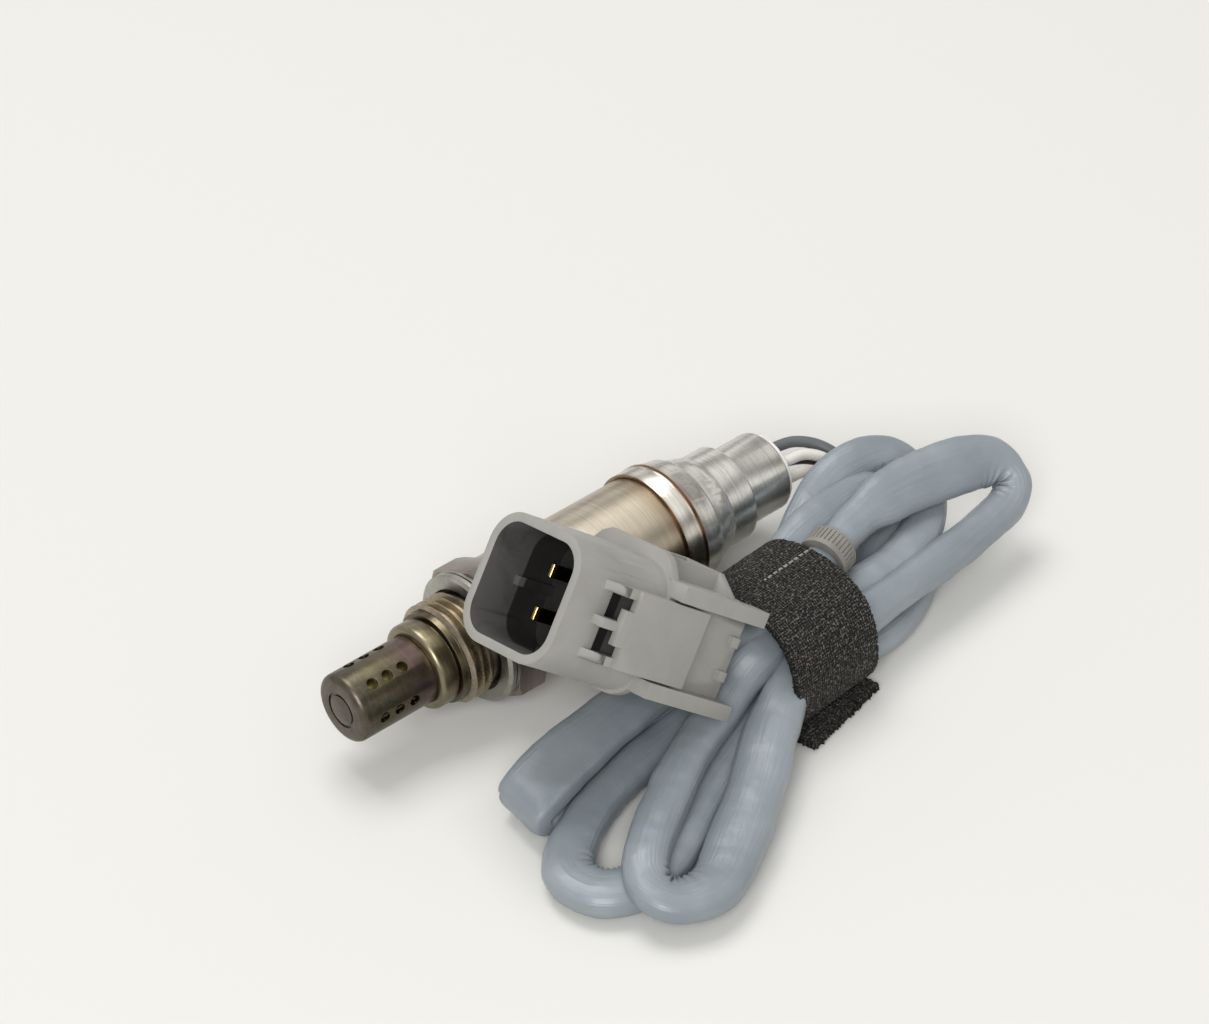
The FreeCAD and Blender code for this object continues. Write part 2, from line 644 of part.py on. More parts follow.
def connector_housing():
    """Moulded housing: shroud and socket, flange with a hump, rails, bracket bridge and lock ridge."""
    body = new_body("connector_housing", ON_PLUG)
    wall = size("plug_wall")
    corner = size("plug_corner")
    shroud = size("shroud_length")
    rounded_block(body, "shroud", Size(0.0, "0"), shroud, size("plug_width"),
                  size("plug_height"), corner)
    rounded_block(body, "rear", shroud - 1.0, size("body_length") + 1.0, size("body_width"),
                  size("body_height"), corner / 2)
    rise = size("flange_rise")
    flange_start = shroud - size("flange_wall")
    rounded_block(body, "flange", flange_start, size("flange_wall"),
                  size("plug_width") + rise * 2, size("plug_height") + rise * 2, corner + rise)
    # the hump stands over the shroud's top, with sloped shoulders
    hump = new_sketch(body, "YZ_Plane", flange_start, "hump")
    top = half_height + rise
    crest = top + size("hump_rise")
    slope = size("hump_slope")
    outline(hump, [
        (-half("hump_width") - slope * 2, top - slope), (-half("hump_width") - slope, crest - slope / 2),
        (-half("hump_width"), crest), (half("hump_width"), crest),
        (half("hump_width") + slope, crest - slope / 2), (half("hump_width") + slope * 2, top - slope),
        (half("hump_width"), half_height - size("plug_wall")),
        (-half("hump_width"), half_height - size("plug_wall"))])
    pad(body, hump, size("flange_wall"), "hump_block")
    # two rails that guide the bracket
    reach = size("rail_reach")
    proud = face + size("rail_proud")
    for name, z_low, z_high in (("upper_rail", reach - size("rail_width"), reach),
                                ("lower_rail", -reach, size("rail_width") - reach)):
        block(body, name, flange_start, rail_end, -proud, size("rail_depth") - proud, z_low, z_high)
    # flat wall between the rails, with two snap lugs at its rear edge
    flat = face - size("bridge_wall") * 0.3
    inner = reach - size("rail_width") + 0.2
    block(body, "flat", shroud - 1.0, body_end, -flat, -half("body_width") + 0.6, -inner, inner)
    for name, middle in (("upper_lug", half("lug_spacing")), ("lower_lug", -half("lug_spacing"))):
        block(body, name, body_end - size("lug_size") * 1.4, body_end - size("lug_size") * 0.4,
              -flat - size("lug_rise"), 0.3 - flat, middle - half("lug_size"),
              middle + half("lug_size"))
    # bridge over the bracket's slot: two side walls, a middle rib and the outer plate with its tongue
    outer = -face - size("bridge_gap") - size("bridge_wall")
    half_bridge = half("bridge_width")
    lead_in = size("bridge_start") - size("bridge_lead")
    for name, z_low in (("bridge_top", half_bridge - size("bridge_wall")),
                        ("bridge_bottom", -half_bridge),
                        ("bridge_rib", -half("bridge_wall"))):
        block(body, name, lead_in, size("bridge_end"), outer + size("bridge_wall") / 2,
              0.3 - face, z_low, z_low + size("bridge_wall"))
    block(body, "bridge_plate", size("bridge_start"), size("bridge_end"), outer,
          outer + size("bridge_wall"), -half_bridge, half_bridge)
    block(body, "bridge_tongue", size("bridge_start") - size("tongue_length"), size("bridge_start"),
          outer, outer + size("bridge_wall"), -half("tongue_width"), half("tongue_width"))
    block(body, "bridge_back", size("bridge_end") - size("bridge_wall"), size("bridge_end"),
          outer, 0.3 - flat, -half_bridge, half_bridge)
    # lock ridge on top, with a sloped rear end and a web out to the upper rail
    low = half("body_height") - 0.3
    lift = half("body_height") + size("lock_height")
    half_lock = half("lock_width")
    lock_rear = shroud + size("lock_length")
    lock = new_sketch(body, "XZ_Plane", None, "lock")
    outline(lock, [(shroud - 0.5, low), (lock_rear + size("lock_height") * 0.8, low),
                   (lock_rear, lift), (shroud - 0.5, lift)])
    ridge = body.newObject("PartDesign::Pad", "connector_housing_lock_ridge")
    ridge.Profile = lock
    ridge.Midplane = True
    bind(ridge, "Length", size("lock_width"))
    doc.recompute()
    block(body, "lock_well", shroud + 0.7, lock_rear - size("lock_wall"),
          size("lock_wall") - half_lock, half_lock - size("lock_wall"),
          half("body_height") + 0.5, lift + 1.0, cut=True)
    web = new_sketch(body, "YZ_Plane", lock_rear - size("lock_wall"), "web")
    outline(web, [(-half_lock - size("lock_width") * 0.55, low), (-half_lock + 0.3, low),
                  (-half_lock + 0.3, lift), (-half_lock, lift)])
    pad(body, web, size("lock_wall"), "web_block")
    # the socket with its key ribs, the four cavities for the terminals and the well for the seal
    rounded_block(body, "socket", Size(0.0, "0"), size("socket_depth"),
                  size("plug_width") - wall * 2, size("plug_height") - wall * 2, corner - wall,
                  cut=True)
    width = half("key_width")
    inside = half_height - wall
    side = half_width - wall
    for name, y_low, y_high, z_low, z_high in (
            ("top_key", width - 4.0, width * 3 - 4.0, inside - size("key_rise"), inside + 0.2),
            ("bottom_key", -width, width, -inside - 0.2, size("key_rise") - inside),
            ("near_key", -side - 0.2, size("key_rise") - side, -width, width),
            ("far_key", side - size("key_rise"), side + 0.2, -width, width)):
        block(body, name, size("plug_wall") * 3, size("socket_depth") + 0.2, y_low, y_high, z_low,
              z_high)
    rounded_block(body, "seal_well", body_end - size("seal_length") - size("seal_cover_length"),
                  size("seal_length") + size("seal_cover_length"), size("seal_width") + gap * 2,
                  size("seal_width") + gap * 2, Size(1.6, "1.6"), cut=True)
    cell = size("terminal_width") / 2 + gap
    start = size("socket_depth")
    for index, (y, z) in enumerate(TERMINALS, start=1):
        block(body, "cavity_%d" % index, start,
              body_end - size("seal_length") - size("seal_cover_length"),
              y - cell, y + cell, z - cell, z + cell, cut=True)


spacing = half("pin_spacing")
TERMINALS = [(-spacing, spacing), (spacing, spacing), (-spacing, -spacing), (spacing, -spacing)]


def terminals():
    """Four terminals: a square body in its cavity and a flat blade that stands in the socket."""
    for index, (y, z) in enumerate(TERMINALS, start=1):
        body = new_body("pin_terminal_%d" % index, ON_PLUG)
        start = size("socket_depth") + gap
        half_box = half("terminal_width")
        block(body, "box", start, start + size("terminal_length"), y - half_box, y + half_box,
              z - half_box, z + half_box)
        y_in = half("pin_thickness")
        z_in = half("pin_height")
        block(body, "blade", start - size("pin_reach"), start, y - y_in, y + y_in, z - z_in,
              z + z_in)
        tip = size("pin_thickness") * 0.3
        front = number(start - size("pin_reach"))
        round_edges(body, tip, lambda edge, front=front: (
            abs(edge.BoundBox.XMin - front) < 1e-3 and edge.BoundBox.XLength < 1e-3), "tip")


def rear_seal():
    """Rubber mat with a bore for each lead, and the cover that holds it in the housing."""
    start = body_end - size("seal_length") - size("seal_cover_length")
    for label, x_low, length in (("rear_seal", start, size("seal_length")),
                                 ("rear_seal_cover", start + size("seal_length"),
                                  size("seal_cover_length"))):
        body = new_body(label, ON_PLUG)
        rounded_block(body, "mat", x_low, length, size("seal_width"), size("seal_width"),
                      Size(1.5, "1.5"))
        if label == "rear_seal":
            hole = half("lead_diameter")
            for index, (y, z) in enumerate(TERMINALS, start=1):
                block(body, "bore_%d" % index, x_low, x_low + length, y - hole, y + hole,
                      z - hole, z + hole, cut=True)


connector_housing()
terminals()
rear_seal()


# The lead's sleeve: every fold of the hank, by points chosen by hand along its middle.
ENTRY = [(60, -11, 7.2), (63.8, -15.4, 5.2), (65.6, -21, 4.2), (63.4, -27, 3.8), (58, -33.4, 3.8),
         (48.4, -36.7, 3.8), (40.1, -38.2, 3.8), (30.7, -37.6, 4.8), (25.7, -37.4, 5.3)]
BACK_LOOP = [(24.5, -24.3, 8.2), (44.2, -12.4, 11), (50.1, -11.4, 14.8), (56.2, -11.4, 16),
             (61.9, -13.7, 15.6), (65.7, -17.4, 13.4), (65.3, -22.2, 11.2), (60.7, -26.7, 10.2),
             (53.4, -29.6, 10), (45.6, -31.5, 10), (30.7, -30.9, 10.6), (24.6, -31.4, 10.5)]
INNER_LOOP = [(23.8, -23.5, 13.2), (33.9, -19.9, 15.3), (38.9, -18.9, 17), (46.4, -17.6, 17.4),
              (53.5, -17.2, 16.4), (59.1, -17.8, 13.4), (60.9, -20, 9.4), (58.3, -22, 6),
              (52.6, -23.7, 4.4), (45.2, -26.3, 4.2), (30.3, -31.6, 5), (25.3, -31.9, 5)]
OUTER_LOOP = [(24.1, -29.7, 13.6), (30, -27.5, 14.9), (37.5, -25.5, 15.8), (45.2, -23.1, 17),
              (52.3, -22.4, 18), (59.8, -23.3, 18), (66.5, -25.1, 17.5), (74.4, -26.4, 15.8),
              (77.6, -31, 12.6), (73, -35, 10), (64.4, -35.4, 10), (54.8, -35.8, 9.8),
              (43.5, -35.9, 10), (31.2, -38, 11.2), (24.7, -38.3, 11.6)]
FRONT_FOLD = [(14.9, -33.6, 11.5), (8.5, -34.6, 10.2), (0.8, -37, 7.6), (-9.5, -41.3, 7),
              (-21, -47.8, 6.9), (-31.2, -53.8, 6), (-31.1, -59.9, 4.8), (-25.8, -62.9, 4.3),
              (-15.4, -57.6, 4.9), (-5.5, -51.8, 6.2), (3.4, -45.4, 7.9), (14.3, -39.7, 9)]
MIDDLE_FOLD = [(15.1, -29.9, 5.3), (8.6, -30.6, 4.6), (0, -31.6, 3.6), (-10, -32.8, 3.4),
               (-19.5, -35.2, 3.5), (-28.5, -38.5, 3.4), (-38, -43.9, 3.4), (-38, -50.8, 3.4),
               (-32, -54.4, 3.4), (-21.5, -51, 3.4), (-11, -45.6, 3.5), (0, -40.8, 3.4),
               (7.4, -38.6, 4.6), (13.6, -37.2, 5.3)]
REAR_FOLD = [(16.4, -26.4, 8.5), (8, -25.2, 6.8), (-4, -24.9, 6), (-14, -25.8, 5.5),
             (-25, -27.6, 5), (-34, -29.4, 4.6)]
PLUG_END = [(12, -28.6, 12.6), (17.6, -29.4, 13.5)]
CORE_PLACE = FreeCAD.Placement(Vector(19.7, -30.8, 10), FreeCAD.Rotation(Vector(0, 0, 1), 4))


def smooth_path(points):
    """Straight runs joined by the largest tangent arcs that they allow, and the smallest radius."""
    points = [Vector(*point) for point in points]
    edges = []
    radii = []
    start = points[0]
    for before, corner, after in zip(points, points[1:], points[2:]):
        back = (before - corner).normalize()
        ahead = (after - corner).normalize()
        shorter = min((before - corner).Length, (after - corner).Length)
        cut_back = 0.45 * shorter
        half_turn = (math.pi - back.getAngle(ahead)) / 2
        radii.append(cut_back / math.tan(half_turn))
        arc_start = corner + back * cut_back
        arc_end = corner + ahead * cut_back
        middle = (back + ahead).normalize()
        centre = corner + middle * (radii[-1] / math.cos(half_turn))
        arc_middle = centre - middle * radii[-1]
        edges.append(Part.LineSegment(start, arc_start).toShape())
        edges.append(Part.Arc(arc_start, arc_middle, arc_end).toShape())
        start = arc_end
    edges.append(Part.LineSegment(start, points[-1]).toShape())
    return Part.Wire(edges), min(radii)


def tube(name, points, diameter):
    """A round tube along a route, checked against its section times its length."""
    path, tightest = smooth_path(points)
    start = Vector(*points[0])
    ahead = Vector(*points[1]) - start
    section = Part.Wire(Part.Circle(start, ahead, diameter / 2).toShape())
    solid = path.makePipeShell([section], True, False)
    expected = math.pi * diameter ** 2 / 4 * path.Length
    if abs(solid.Volume / expected - 1) > 0.01:
        raise RuntimeError(name + ": the tube's volume is off")
    print(name, "length", round(path.Length, 1), "tightest radius", round(tightest, 1))
    return solid


def loose_part(label, shape, placement=None):
    """A piece whose shape is set directly."""
    piece = doc.addObject("Part::Feature", label)
    piece.Shape = shape
    if placement:
        piece.Placement = placement
    parts.append(piece)


def placed(label):
    """A finished piece's solid where it lies."""
    return next(piece for piece in parts if piece.Label == label).Shape.Solids[0]


def lead_hank():
    """The sleeve folded back and forth through its tie, as one solid of its outer form."""
    sleeve = number(size("lead_sleeve"))
    plug_rear = ON_PLUG.multVec(Vector(number(body_end), 0, 0))
    plug_route = [tuple(plug_rear), tuple(plug_rear + PLUG_REARWARD * 5)] + PLUG_END
    routes = [("front_fold", FRONT_FOLD), ("middle_fold", MIDDLE_FOLD), ("rear_fold", REAR_FOLD),
              ("plug_end", plug_route), ("entry", ENTRY), ("outer_loop", OUTER_LOOP),
              ("back_loop", BACK_LOOP), ("inner_loop", INNER_LOOP)]
    length, width, height = [number(size(name)) for name in
                             ("bundle_length", "bundle_width", "bundle_height")]
    hank = Part.makeBox(length, width, height, Vector(-length / 2, -width / 2, -height / 2))
    along = [edge for edge in hank.Edges if edge.BoundBox.XLength > length - 0.01]
    hank = hank.makeFillet(number(size("bundle_corner")), along)
    hank.Placement = CORE_PLACE
    for name, points in routes:
        hank = hank.fuse(tube(name, points, sleeve))
    # the soft sleeve gives way where the band and the collar press it
    for piece in ("cable_tie", "ribbed_collar"):
        hank = hank.cut(placed(piece))
    loose_part("lead_hank", max(hank.Solids, key=lambda solid: solid.Volume))


def cable_tie():
    """Hook-and-loop band round the bundle, with its free end flat on the floor."""
    body = new_body("cable_tie", CORE_PLACE)
    wall = size("tie_wall")
    band = new_sketch(body, "YZ_Plane", -half("tie_width"), "band")
    width, height = size("bundle_width"), size("bundle_height")
    rounded_rectangle(band, -(width / 2) - wall, -(height / 2) - wall, width + wall * 2,
                      height + wall * 2, size("bundle_corner") + wall)
    rounded_rectangle(band, -(width / 2), -(height / 2), width, height, size("bundle_corner"))
    pad(body, band, size("tie_width"), "band")
    floor = -(height / 2) - wall
    block(body, "tail", -half("tie_width"), half("tie_width") * 0.4,
          -(width / 2) - size("tail_length"), -(width / 2) + size("bundle_corner"),
          floor, floor + wall * 0.99)


def ribbed_collar():
    """Ribbed ring pushed over the sleeve beside the tie."""
    axis = Vector(*OUTER_LOOP[2]) - Vector(*OUTER_LOOP[1])
    middle = Vector(*OUTER_LOOP[1]) + axis * 0.5
    place = FreeCAD.Placement(middle, FreeCAD.Rotation(Vector(1, 0, 0), axis))
    body = new_body("ribbed_collar", place)
    bore = half("lead_sleeve") + 0.2
    outer = half("collar_diameter")
    reach = half("collar_length")
    edge = size("rib_depth")
    sketch = new_sketch(body, "XY_Plane")
    outline(sketch, [(-reach, bore), (-reach, outer - edge), (edge - reach, outer),
                     (reach - edge, outer), (reach, outer - edge), (reach, bore)])
    spin = body.newObject("PartDesign::Revolution", "ribbed_collar_turned")
    spin.Profile = sketch
    spin.ReferenceAxis = (sketch, ["H_Axis"])
    spin.Angle = 360
    doc.recompute()
    notch = new_sketch(body, "YZ_Plane", edge * 0.8 - reach, "notch")
    width = size("collar_diameter") * math.pi / size("collar_ribs") / 4
    outline(notch, [(-width, outer - edge), (width, outer - edge), (width, outer + edge),
                    (-width, outer + edge)])
    cut = pocket(body, notch, size("collar_length") - edge * 1.6, "notch_cut")
    patterned(body, "PolarPattern", cut, (notch, ["N_Axis"]), count("collar_ribs"))


# The four leads between the carrier and the sleeve's mouth: the middle of the bunch, by hand
LEAD_BUNCH = [(55.4, -2.4, 12.6), (58.4, -7, 10.3), (60, -11, 7.2)]
BUNCH_SPREAD = [0.75, 0.5, 0.44]


def free_leads():
    """Four leads from their contacts through the grommet to the mouth of the sleeve."""
    start = number(carrier_start + gap + size("contact_length"))
    radius = number(half("lead_circle"))
    middle = [Vector(start, 0, AXIS_HEIGHT), Vector(number(x_grommet_end) + 3.1, 0, AXIS_HEIGHT)]
    middle += [Vector(*point) for point in LEAD_BUNCH]
    spread = [1.0, 1.0] + BUNCH_SPREAD
    final = Vector(*ENTRY[1]) - Vector(*ENTRY[0])
    for name, angle in LEADS:
        turn = math.radians(angle)
        points = []
        for index, point in enumerate(middle):
            before = middle[max(index - 1, 0)]
            after = middle[index + 1] if index + 1 < len(middle) else point + final
            ahead = ((after - point).normalize() + (point - before).normalize()
                     if index else after - point).normalize()
            if index + 1 == len(middle):
                ahead = Vector(final).normalize()
            side = Vector(0, 0, 1).cross(ahead).normalize()
            rise = ahead.cross(side)
            offset = (side * math.cos(turn) + rise * math.sin(turn)) * radius * spread[index]
            points.append(tuple(point + offset))
        lead = tube(name, points, number(size("lead_diameter"))).cut(placed("lead_hank"))
        loose_part(name, max(lead.Solids, key=lambda solid: solid.Volume))


cable_tie()
ribbed_collar()
lead_hank()
free_leads()


def write_parts():
    """Check every object and write each sub-part to its own file."""
    doc.recompute()
    for thing in doc.Objects:
        if "Invalid" in thing.State or "Error" in thing.State:
            raise RuntimeError(thing.Label + " is " + ", ".join(thing.State))
    os.makedirs("parts", exist_ok=True)
    for piece in parts:
        shape = piece.Shape
        if shape.isNull() or not shape.isValid() or shape.Volume <= 0:
            raise RuntimeError(piece.Label + " has no valid solid")
        shape.exportStep("parts/" + piece.Label + ".step")
        print(piece.Label, len(shape.Solids), "solid", round(shape.Volume, 1), "mm3")


write_parts()
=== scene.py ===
import bpy
import json
import math
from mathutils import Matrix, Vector, noise


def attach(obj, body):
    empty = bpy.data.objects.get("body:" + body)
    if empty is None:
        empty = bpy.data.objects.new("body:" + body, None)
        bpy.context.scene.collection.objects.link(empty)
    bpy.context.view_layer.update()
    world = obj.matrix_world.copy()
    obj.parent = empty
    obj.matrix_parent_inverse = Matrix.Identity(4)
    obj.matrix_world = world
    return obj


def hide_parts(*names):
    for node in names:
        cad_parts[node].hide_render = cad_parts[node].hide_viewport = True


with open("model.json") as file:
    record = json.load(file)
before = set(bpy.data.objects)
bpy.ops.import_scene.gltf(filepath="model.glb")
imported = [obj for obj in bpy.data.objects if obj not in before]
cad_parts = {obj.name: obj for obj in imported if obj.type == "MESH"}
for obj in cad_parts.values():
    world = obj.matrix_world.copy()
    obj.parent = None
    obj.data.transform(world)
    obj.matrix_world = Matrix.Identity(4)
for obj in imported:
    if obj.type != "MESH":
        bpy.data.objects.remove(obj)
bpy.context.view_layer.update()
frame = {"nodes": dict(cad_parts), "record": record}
record = frame["record"]
nodes = frame["nodes"]
scene = bpy.context.scene
mm = 0.001

# Camera: the sensor lies on a pale table and is seen from above and from its tip's side,
# through a long lens, as a small part is photographed for a catalogue.
camera_place = Vector((-0.3068, -0.3531, 0.4041))
camera_pitch = math.radians(38.8)
camera_heading = Vector((0.667, 0.745, 0.0)).normalized()
camera_data = bpy.data.cameras.new("camera")
camera_data.lens = 109.7
camera_data.sensor_width = 36.0
camera_data.clip_start = 0.01
camera = bpy.data.objects.new("camera", camera_data)
camera.location = camera_place
camera_look = camera_heading * math.cos(camera_pitch) + Vector((0, 0, -math.sin(camera_pitch)))
camera.rotation_euler = camera_look.to_track_quat("-Z", "Y").to_euler()
scene.collection.objects.link(camera)
scene.camera = camera


# Protection tubes over the sensing tip.  The outer cup is drawn from heat-proof steel sheet,
# perforated and welded to the shell, and the exhaust's heat has tinted it olive and bronze.
def material_with_shader(name, colour, roughness, metallic=0.0):
    """A new material with its shader's plain values set, and its node tree."""
    material = bpy.data.materials.new(name)
    material.use_nodes = True
    tree = material.node_tree
    shader = tree.nodes["Principled BSDF"]
    shader.inputs["Base Color"].default_value = (*colour, 1.0)
    shader.inputs["Roughness"].default_value = roughness
    shader.inputs["Metallic"].default_value = metallic
    return material, tree, shader


def linear(red, green, blue):
    """A colour written as 0 to 255, made linear."""
    def one(value):
        value = value / 255.0
        return value / 12.92 if value <= 0.04045 else ((value + 0.055) / 1.055) ** 2.4
    return one(red), one(green), one(blue)


def noise_field(tree, scale, detail=4.0, roughness=0.55, stretch=(1.0, 1.0, 1.0), warp=0.0):
    """A noise pattern on object coordinates; scale is in features per metre."""
    place = tree.nodes.new("ShaderNodeTexCoord")
    turn = tree.nodes.new("ShaderNodeMapping")
    turn.inputs["Scale"].default_value = stretch
    field = tree.nodes.new("ShaderNodeTexNoise")
    field.inputs["Scale"].default_value = scale
    field.inputs["Detail"].default_value = detail
    field.inputs["Roughness"].default_value = roughness
    field.inputs["Distortion"].default_value = warp
    tree.links.new(place.outputs["Object"], turn.inputs["Vector"])
    tree.links.new(turn.outputs["Vector"], field.inputs["Vector"])
    return field.outputs["Fac"]


def ramp(tree, source, stops):
    """Colours along a value, as stops of (position, colour)."""
    band = tree.nodes.new("ShaderNodeValToRGB")
    elements = band.color_ramp.elements
    while len(elements) < len(stops):
        elements.new(0.5)
    for element, (position, colour) in zip(elements, stops):
        element.position = position
        element.color = (*colour, 1.0)
    tree.links.new(source, band.inputs["Fac"])
    return band.outputs["Color"]


def bump(tree, shader, source, depth):
    """Height in metres from a value, onto the shader's normal, over any bump before it."""
    node = tree.nodes.new("ShaderNodeBump")
    node.inputs["Strength"].default_value = 1.0
    node.inputs["Distance"].default_value = depth
    tree.links.new(source, node.inputs["Height"])
    before = shader.inputs["Normal"].links
    if before:
        tree.links.new(before[0].from_socket, node.inputs["Normal"])
    tree.links.new(node.outputs["Normal"], shader.inputs["Normal"])


def span(tree, source, low, high):
    """A value from 0 to 1 spread over a range."""
    node = tree.nodes.new("ShaderNodeMapRange")
    node.inputs["To Min"].default_value = low
    node.inputs["To Max"].default_value = high
    tree.links.new(source, node.inputs["Value"])
    return node.outputs["Result"]


def along_axis(tree, low, high):
    """How far a point lies along the sensor, from 0 at low to 1 at high, in millimetres."""
    place = tree.nodes.new("ShaderNodeTexCoord")
    parts = tree.nodes.new("ShaderNodeSeparateXYZ")
    tree.links.new(place.outputs["Object"], parts.inputs["Vector"])
    node = tree.nodes.new("ShaderNodeMapRange")
    node.inputs["From Min"].default_value = low * mm
    node.inputs["From Max"].default_value = high * mm
    tree.links.new(parts.outputs["X"], node.inputs["Value"])
    return node.outputs["Result"]


def blend_colours(tree, kind, share, first, second):
    """Mix two colours or outputs; share is a number or an output."""
    node = tree.nodes.new("ShaderNodeMix")
    node.data_type = "RGBA"
    node.blend_type = kind
    factor, first_colour, second_colour = node.inputs["Factor"], node.inputs[6], node.inputs[7]
    for socket, value in ((factor, share), (first_colour, first), (second_colour, second)):
        if isinstance(value, bpy.types.NodeSocket):
            tree.links.new(value, socket)
        elif isinstance(value, tuple):
            socket.default_value = (*value, 1.0)
        else:
            socket.default_value = value
    return node.outputs[2]


def calculate(tree, kind, *values):
    """A sum, product or test of outputs and numbers."""
    node = tree.nodes.new("ShaderNodeMath")
    node.operation = kind
    for socket, value in zip(node.inputs, values):
        if isinstance(value, bpy.types.NodeSocket):
            tree.links.new(value, socket)
        else:
            socket.default_value = value
    return node.outputs[0]


def turned_steel(name, stops, low, high, rough_low, rough_high, mottle,
                 ring_depth=0.000006, stain_share=0.35):
    """Steel turned or drawn about the sensor's axis: colour by station, fine rings and stains."""
    material, tree, shader = material_with_shader(name, stops[0][1], rough_low, 1.0)
    colour = ramp(tree, along_axis(tree, low, high), stops)
    cloud = span(tree, noise_field(tree, mottle, 5.0, 0.6, warp=0.4), 0.55, 1.25)
    rings = noise_field(tree, 2600.0, 2.0, 0.5, stretch=(1.0, 0.03, 0.03))
    shade = tree.nodes.new("ShaderNodeVectorMath")
    shade.operation = "SCALE"
    tree.links.new(colour, shade.inputs[0])
    tree.links.new(calculate(tree, "MULTIPLY", cloud, span(tree, rings, 0.72, 1.22)),
                   shade.inputs["Scale"])
    stain = ramp(tree, noise_field(tree, mottle * 3.1, 6.0, 0.7),
                 [(0.46, (0, 0, 0)), (0.68, (1, 1, 1))])
    stain_colour = (0.20, 0.17, 0.14)
    tree.links.new(blend_colours(tree, "MIX", calculate(tree, "MULTIPLY", stain, stain_share),
                                 shade.outputs[0], stain_colour), shader.inputs["Base Color"])
    tree.links.new(span(tree, noise_field(tree, mottle * 1.7, 4.0), rough_low, rough_high),
                   shader.inputs["Roughness"])
    bump(tree, shader, rings, ring_depth)
    bump(tree, shader, noise_field(tree, mottle * 9.0, 3.0), ring_depth * 1.5)
    return material


def finish(name, material):
    """Give a carried-over piece its material."""
    piece = nodes[name]
    if not piece.material_slots:
        piece.data.materials.append(material)
    for slot in piece.material_slots:
        slot.material = material


def pick(piece):
    """Deselect everything but one piece, and make it the active one."""
    bpy.ops.object.select_all(action="DESELECT")
    bpy.context.view_layer.objects.active = piece
    piece.select_set(True)


def work_on(piece):
    """Take one piece into edit mode, all selected."""
    pick(piece)
    bpy.ops.object.mode_set(mode="EDIT")
    bpy.ops.mesh.select_all(action="SELECT")


def select_vertices(piece, wanted):
    """Select in edit mode the vertices that a test picks by place."""
    bpy.ops.mesh.select_all(action="DESELECT")
    bpy.ops.mesh.select_mode(type="VERT")
    bpy.ops.object.mode_set(mode="OBJECT")
    for vertex in piece.data.vertices:
        vertex.select = bool(wanted(vertex.co))
    bpy.ops.object.mode_set(mode="EDIT")


def merged_copy(node_name, name, material):
    """A copy of a carried-over piece with its loose triangles joined into flat faces."""
    piece = bpy.data.objects.new(name, nodes[node_name].data.copy())
    scene.collection.objects.link(piece)
    piece.data.materials.clear()
    piece.data.materials.append(material)
    work_on(piece)
    bpy.ops.mesh.remove_doubles(threshold=0.00001)
    bpy.ops.mesh.dissolve_limited(angle_limit=math.radians(0.6))
    bpy.ops.mesh.normals_make_consistent(inside=False)
    bpy.ops.object.mode_set(mode="OBJECT")
    return piece


def bevelled(piece, width, segments=2, angle=32.0, smooth=38.0):
    """Round the edges of a piece and shade it smooth across gentle bends."""
    rounding = piece.modifiers.new("edges", "BEVEL")
    rounding.width = width
    rounding.segments = segments
    rounding.limit_method = "ANGLE"
    rounding.angle_limit = math.radians(angle)
    rounding.use_clamp_overlap = True
    pick(piece)
    bpy.ops.object.modifier_apply(modifier=rounding.name)
    bpy.ops.object.shade_smooth_by_angle(angle=math.radians(smooth))


def place_in_scene(piece, slot_name, *replaced):
    """Hide the pieces that a new piece stands for, and make it move with the part; slot_name is not
    used.
    """
    if replaced:
        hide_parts(*replaced)
    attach(piece, "root")


tinted_steel = turned_steel("heat_tinted_steel", [
    (0.00, linear(96, 88, 80)), (0.10, linear(84, 78, 66)), (0.35, linear(97, 91, 70)),
    (0.62, linear(96, 86, 70)), (0.85, linear(106, 88, 86)), (1.00, linear(122, 111, 90))],
    -47.0, -31.5, 0.26, 0.44, 160.0)
tip_tube = merged_copy("protection_tube_outer", "protection_tube_drawn", tinted_steel)
bevelled(tip_tube, 0.28 * mm, 3, 30.0, 40.0)
place_in_scene(tip_tube, "heat_tinted_steel", "protection_tube_outer")
inner_steel = turned_steel("inner_tube_steel", [
    (0.0, linear(150, 138, 84)), (0.5, linear(170, 156, 96)), (1.0, linear(140, 126, 84))],
    -46.0, -31.5, 0.35, 0.5, 220.0)
finish("protection_tube_inner", inner_steel)

# Shell: turned from stainless bar, with a rolled nose, a pilot, the mounting thread and a
# hexagon.  The thread is rolled, so its ridges are bright; the shell between them is painted dark
# as painted shade in the grooves.  The hexagon is duller and browner.
# stations 0.26 to 0.54 lie under the thread and are painted dark as painted shade in its grooves
shell_steel = turned_steel("shell_steel", [
    (0.00, linear(140, 132, 110)), (0.09, linear(132, 122, 96)), (0.17, linear(112, 102, 80)),
    (0.26, linear(98, 89, 72)), (0.40, linear(90, 81, 65)), (0.54, linear(106, 97, 84)),
    (0.66, linear(150, 139, 131)), (0.70, linear(148, 136, 129)), (1.00, linear(156, 145, 138))],
    -32.0, -13.0, 0.22, 0.42, 240.0, ring_depth=0.00001)
thread_root = 8.1 * mm
thread_crest = 8.96 * mm
thread_pitch = 1.5 * mm
thread_front, thread_rear = -26.95 * mm, -21.95 * mm
thread_radius = 9.0 * mm
axis_height = 12.7017 * mm
shell = merged_copy("sensor_shell", "sensor_shell_turned", shell_steel)
work_on(shell)


def on_thread(place):
    """Whether a point lies on the thread's plain cylinder."""
    reach = math.hypot(place.y, place.z - axis_height)
    return (abs(reach - thread_radius) < 0.06 * mm
            and thread_front - 0.01 * mm < place.x < thread_rear + 0.01 * mm)


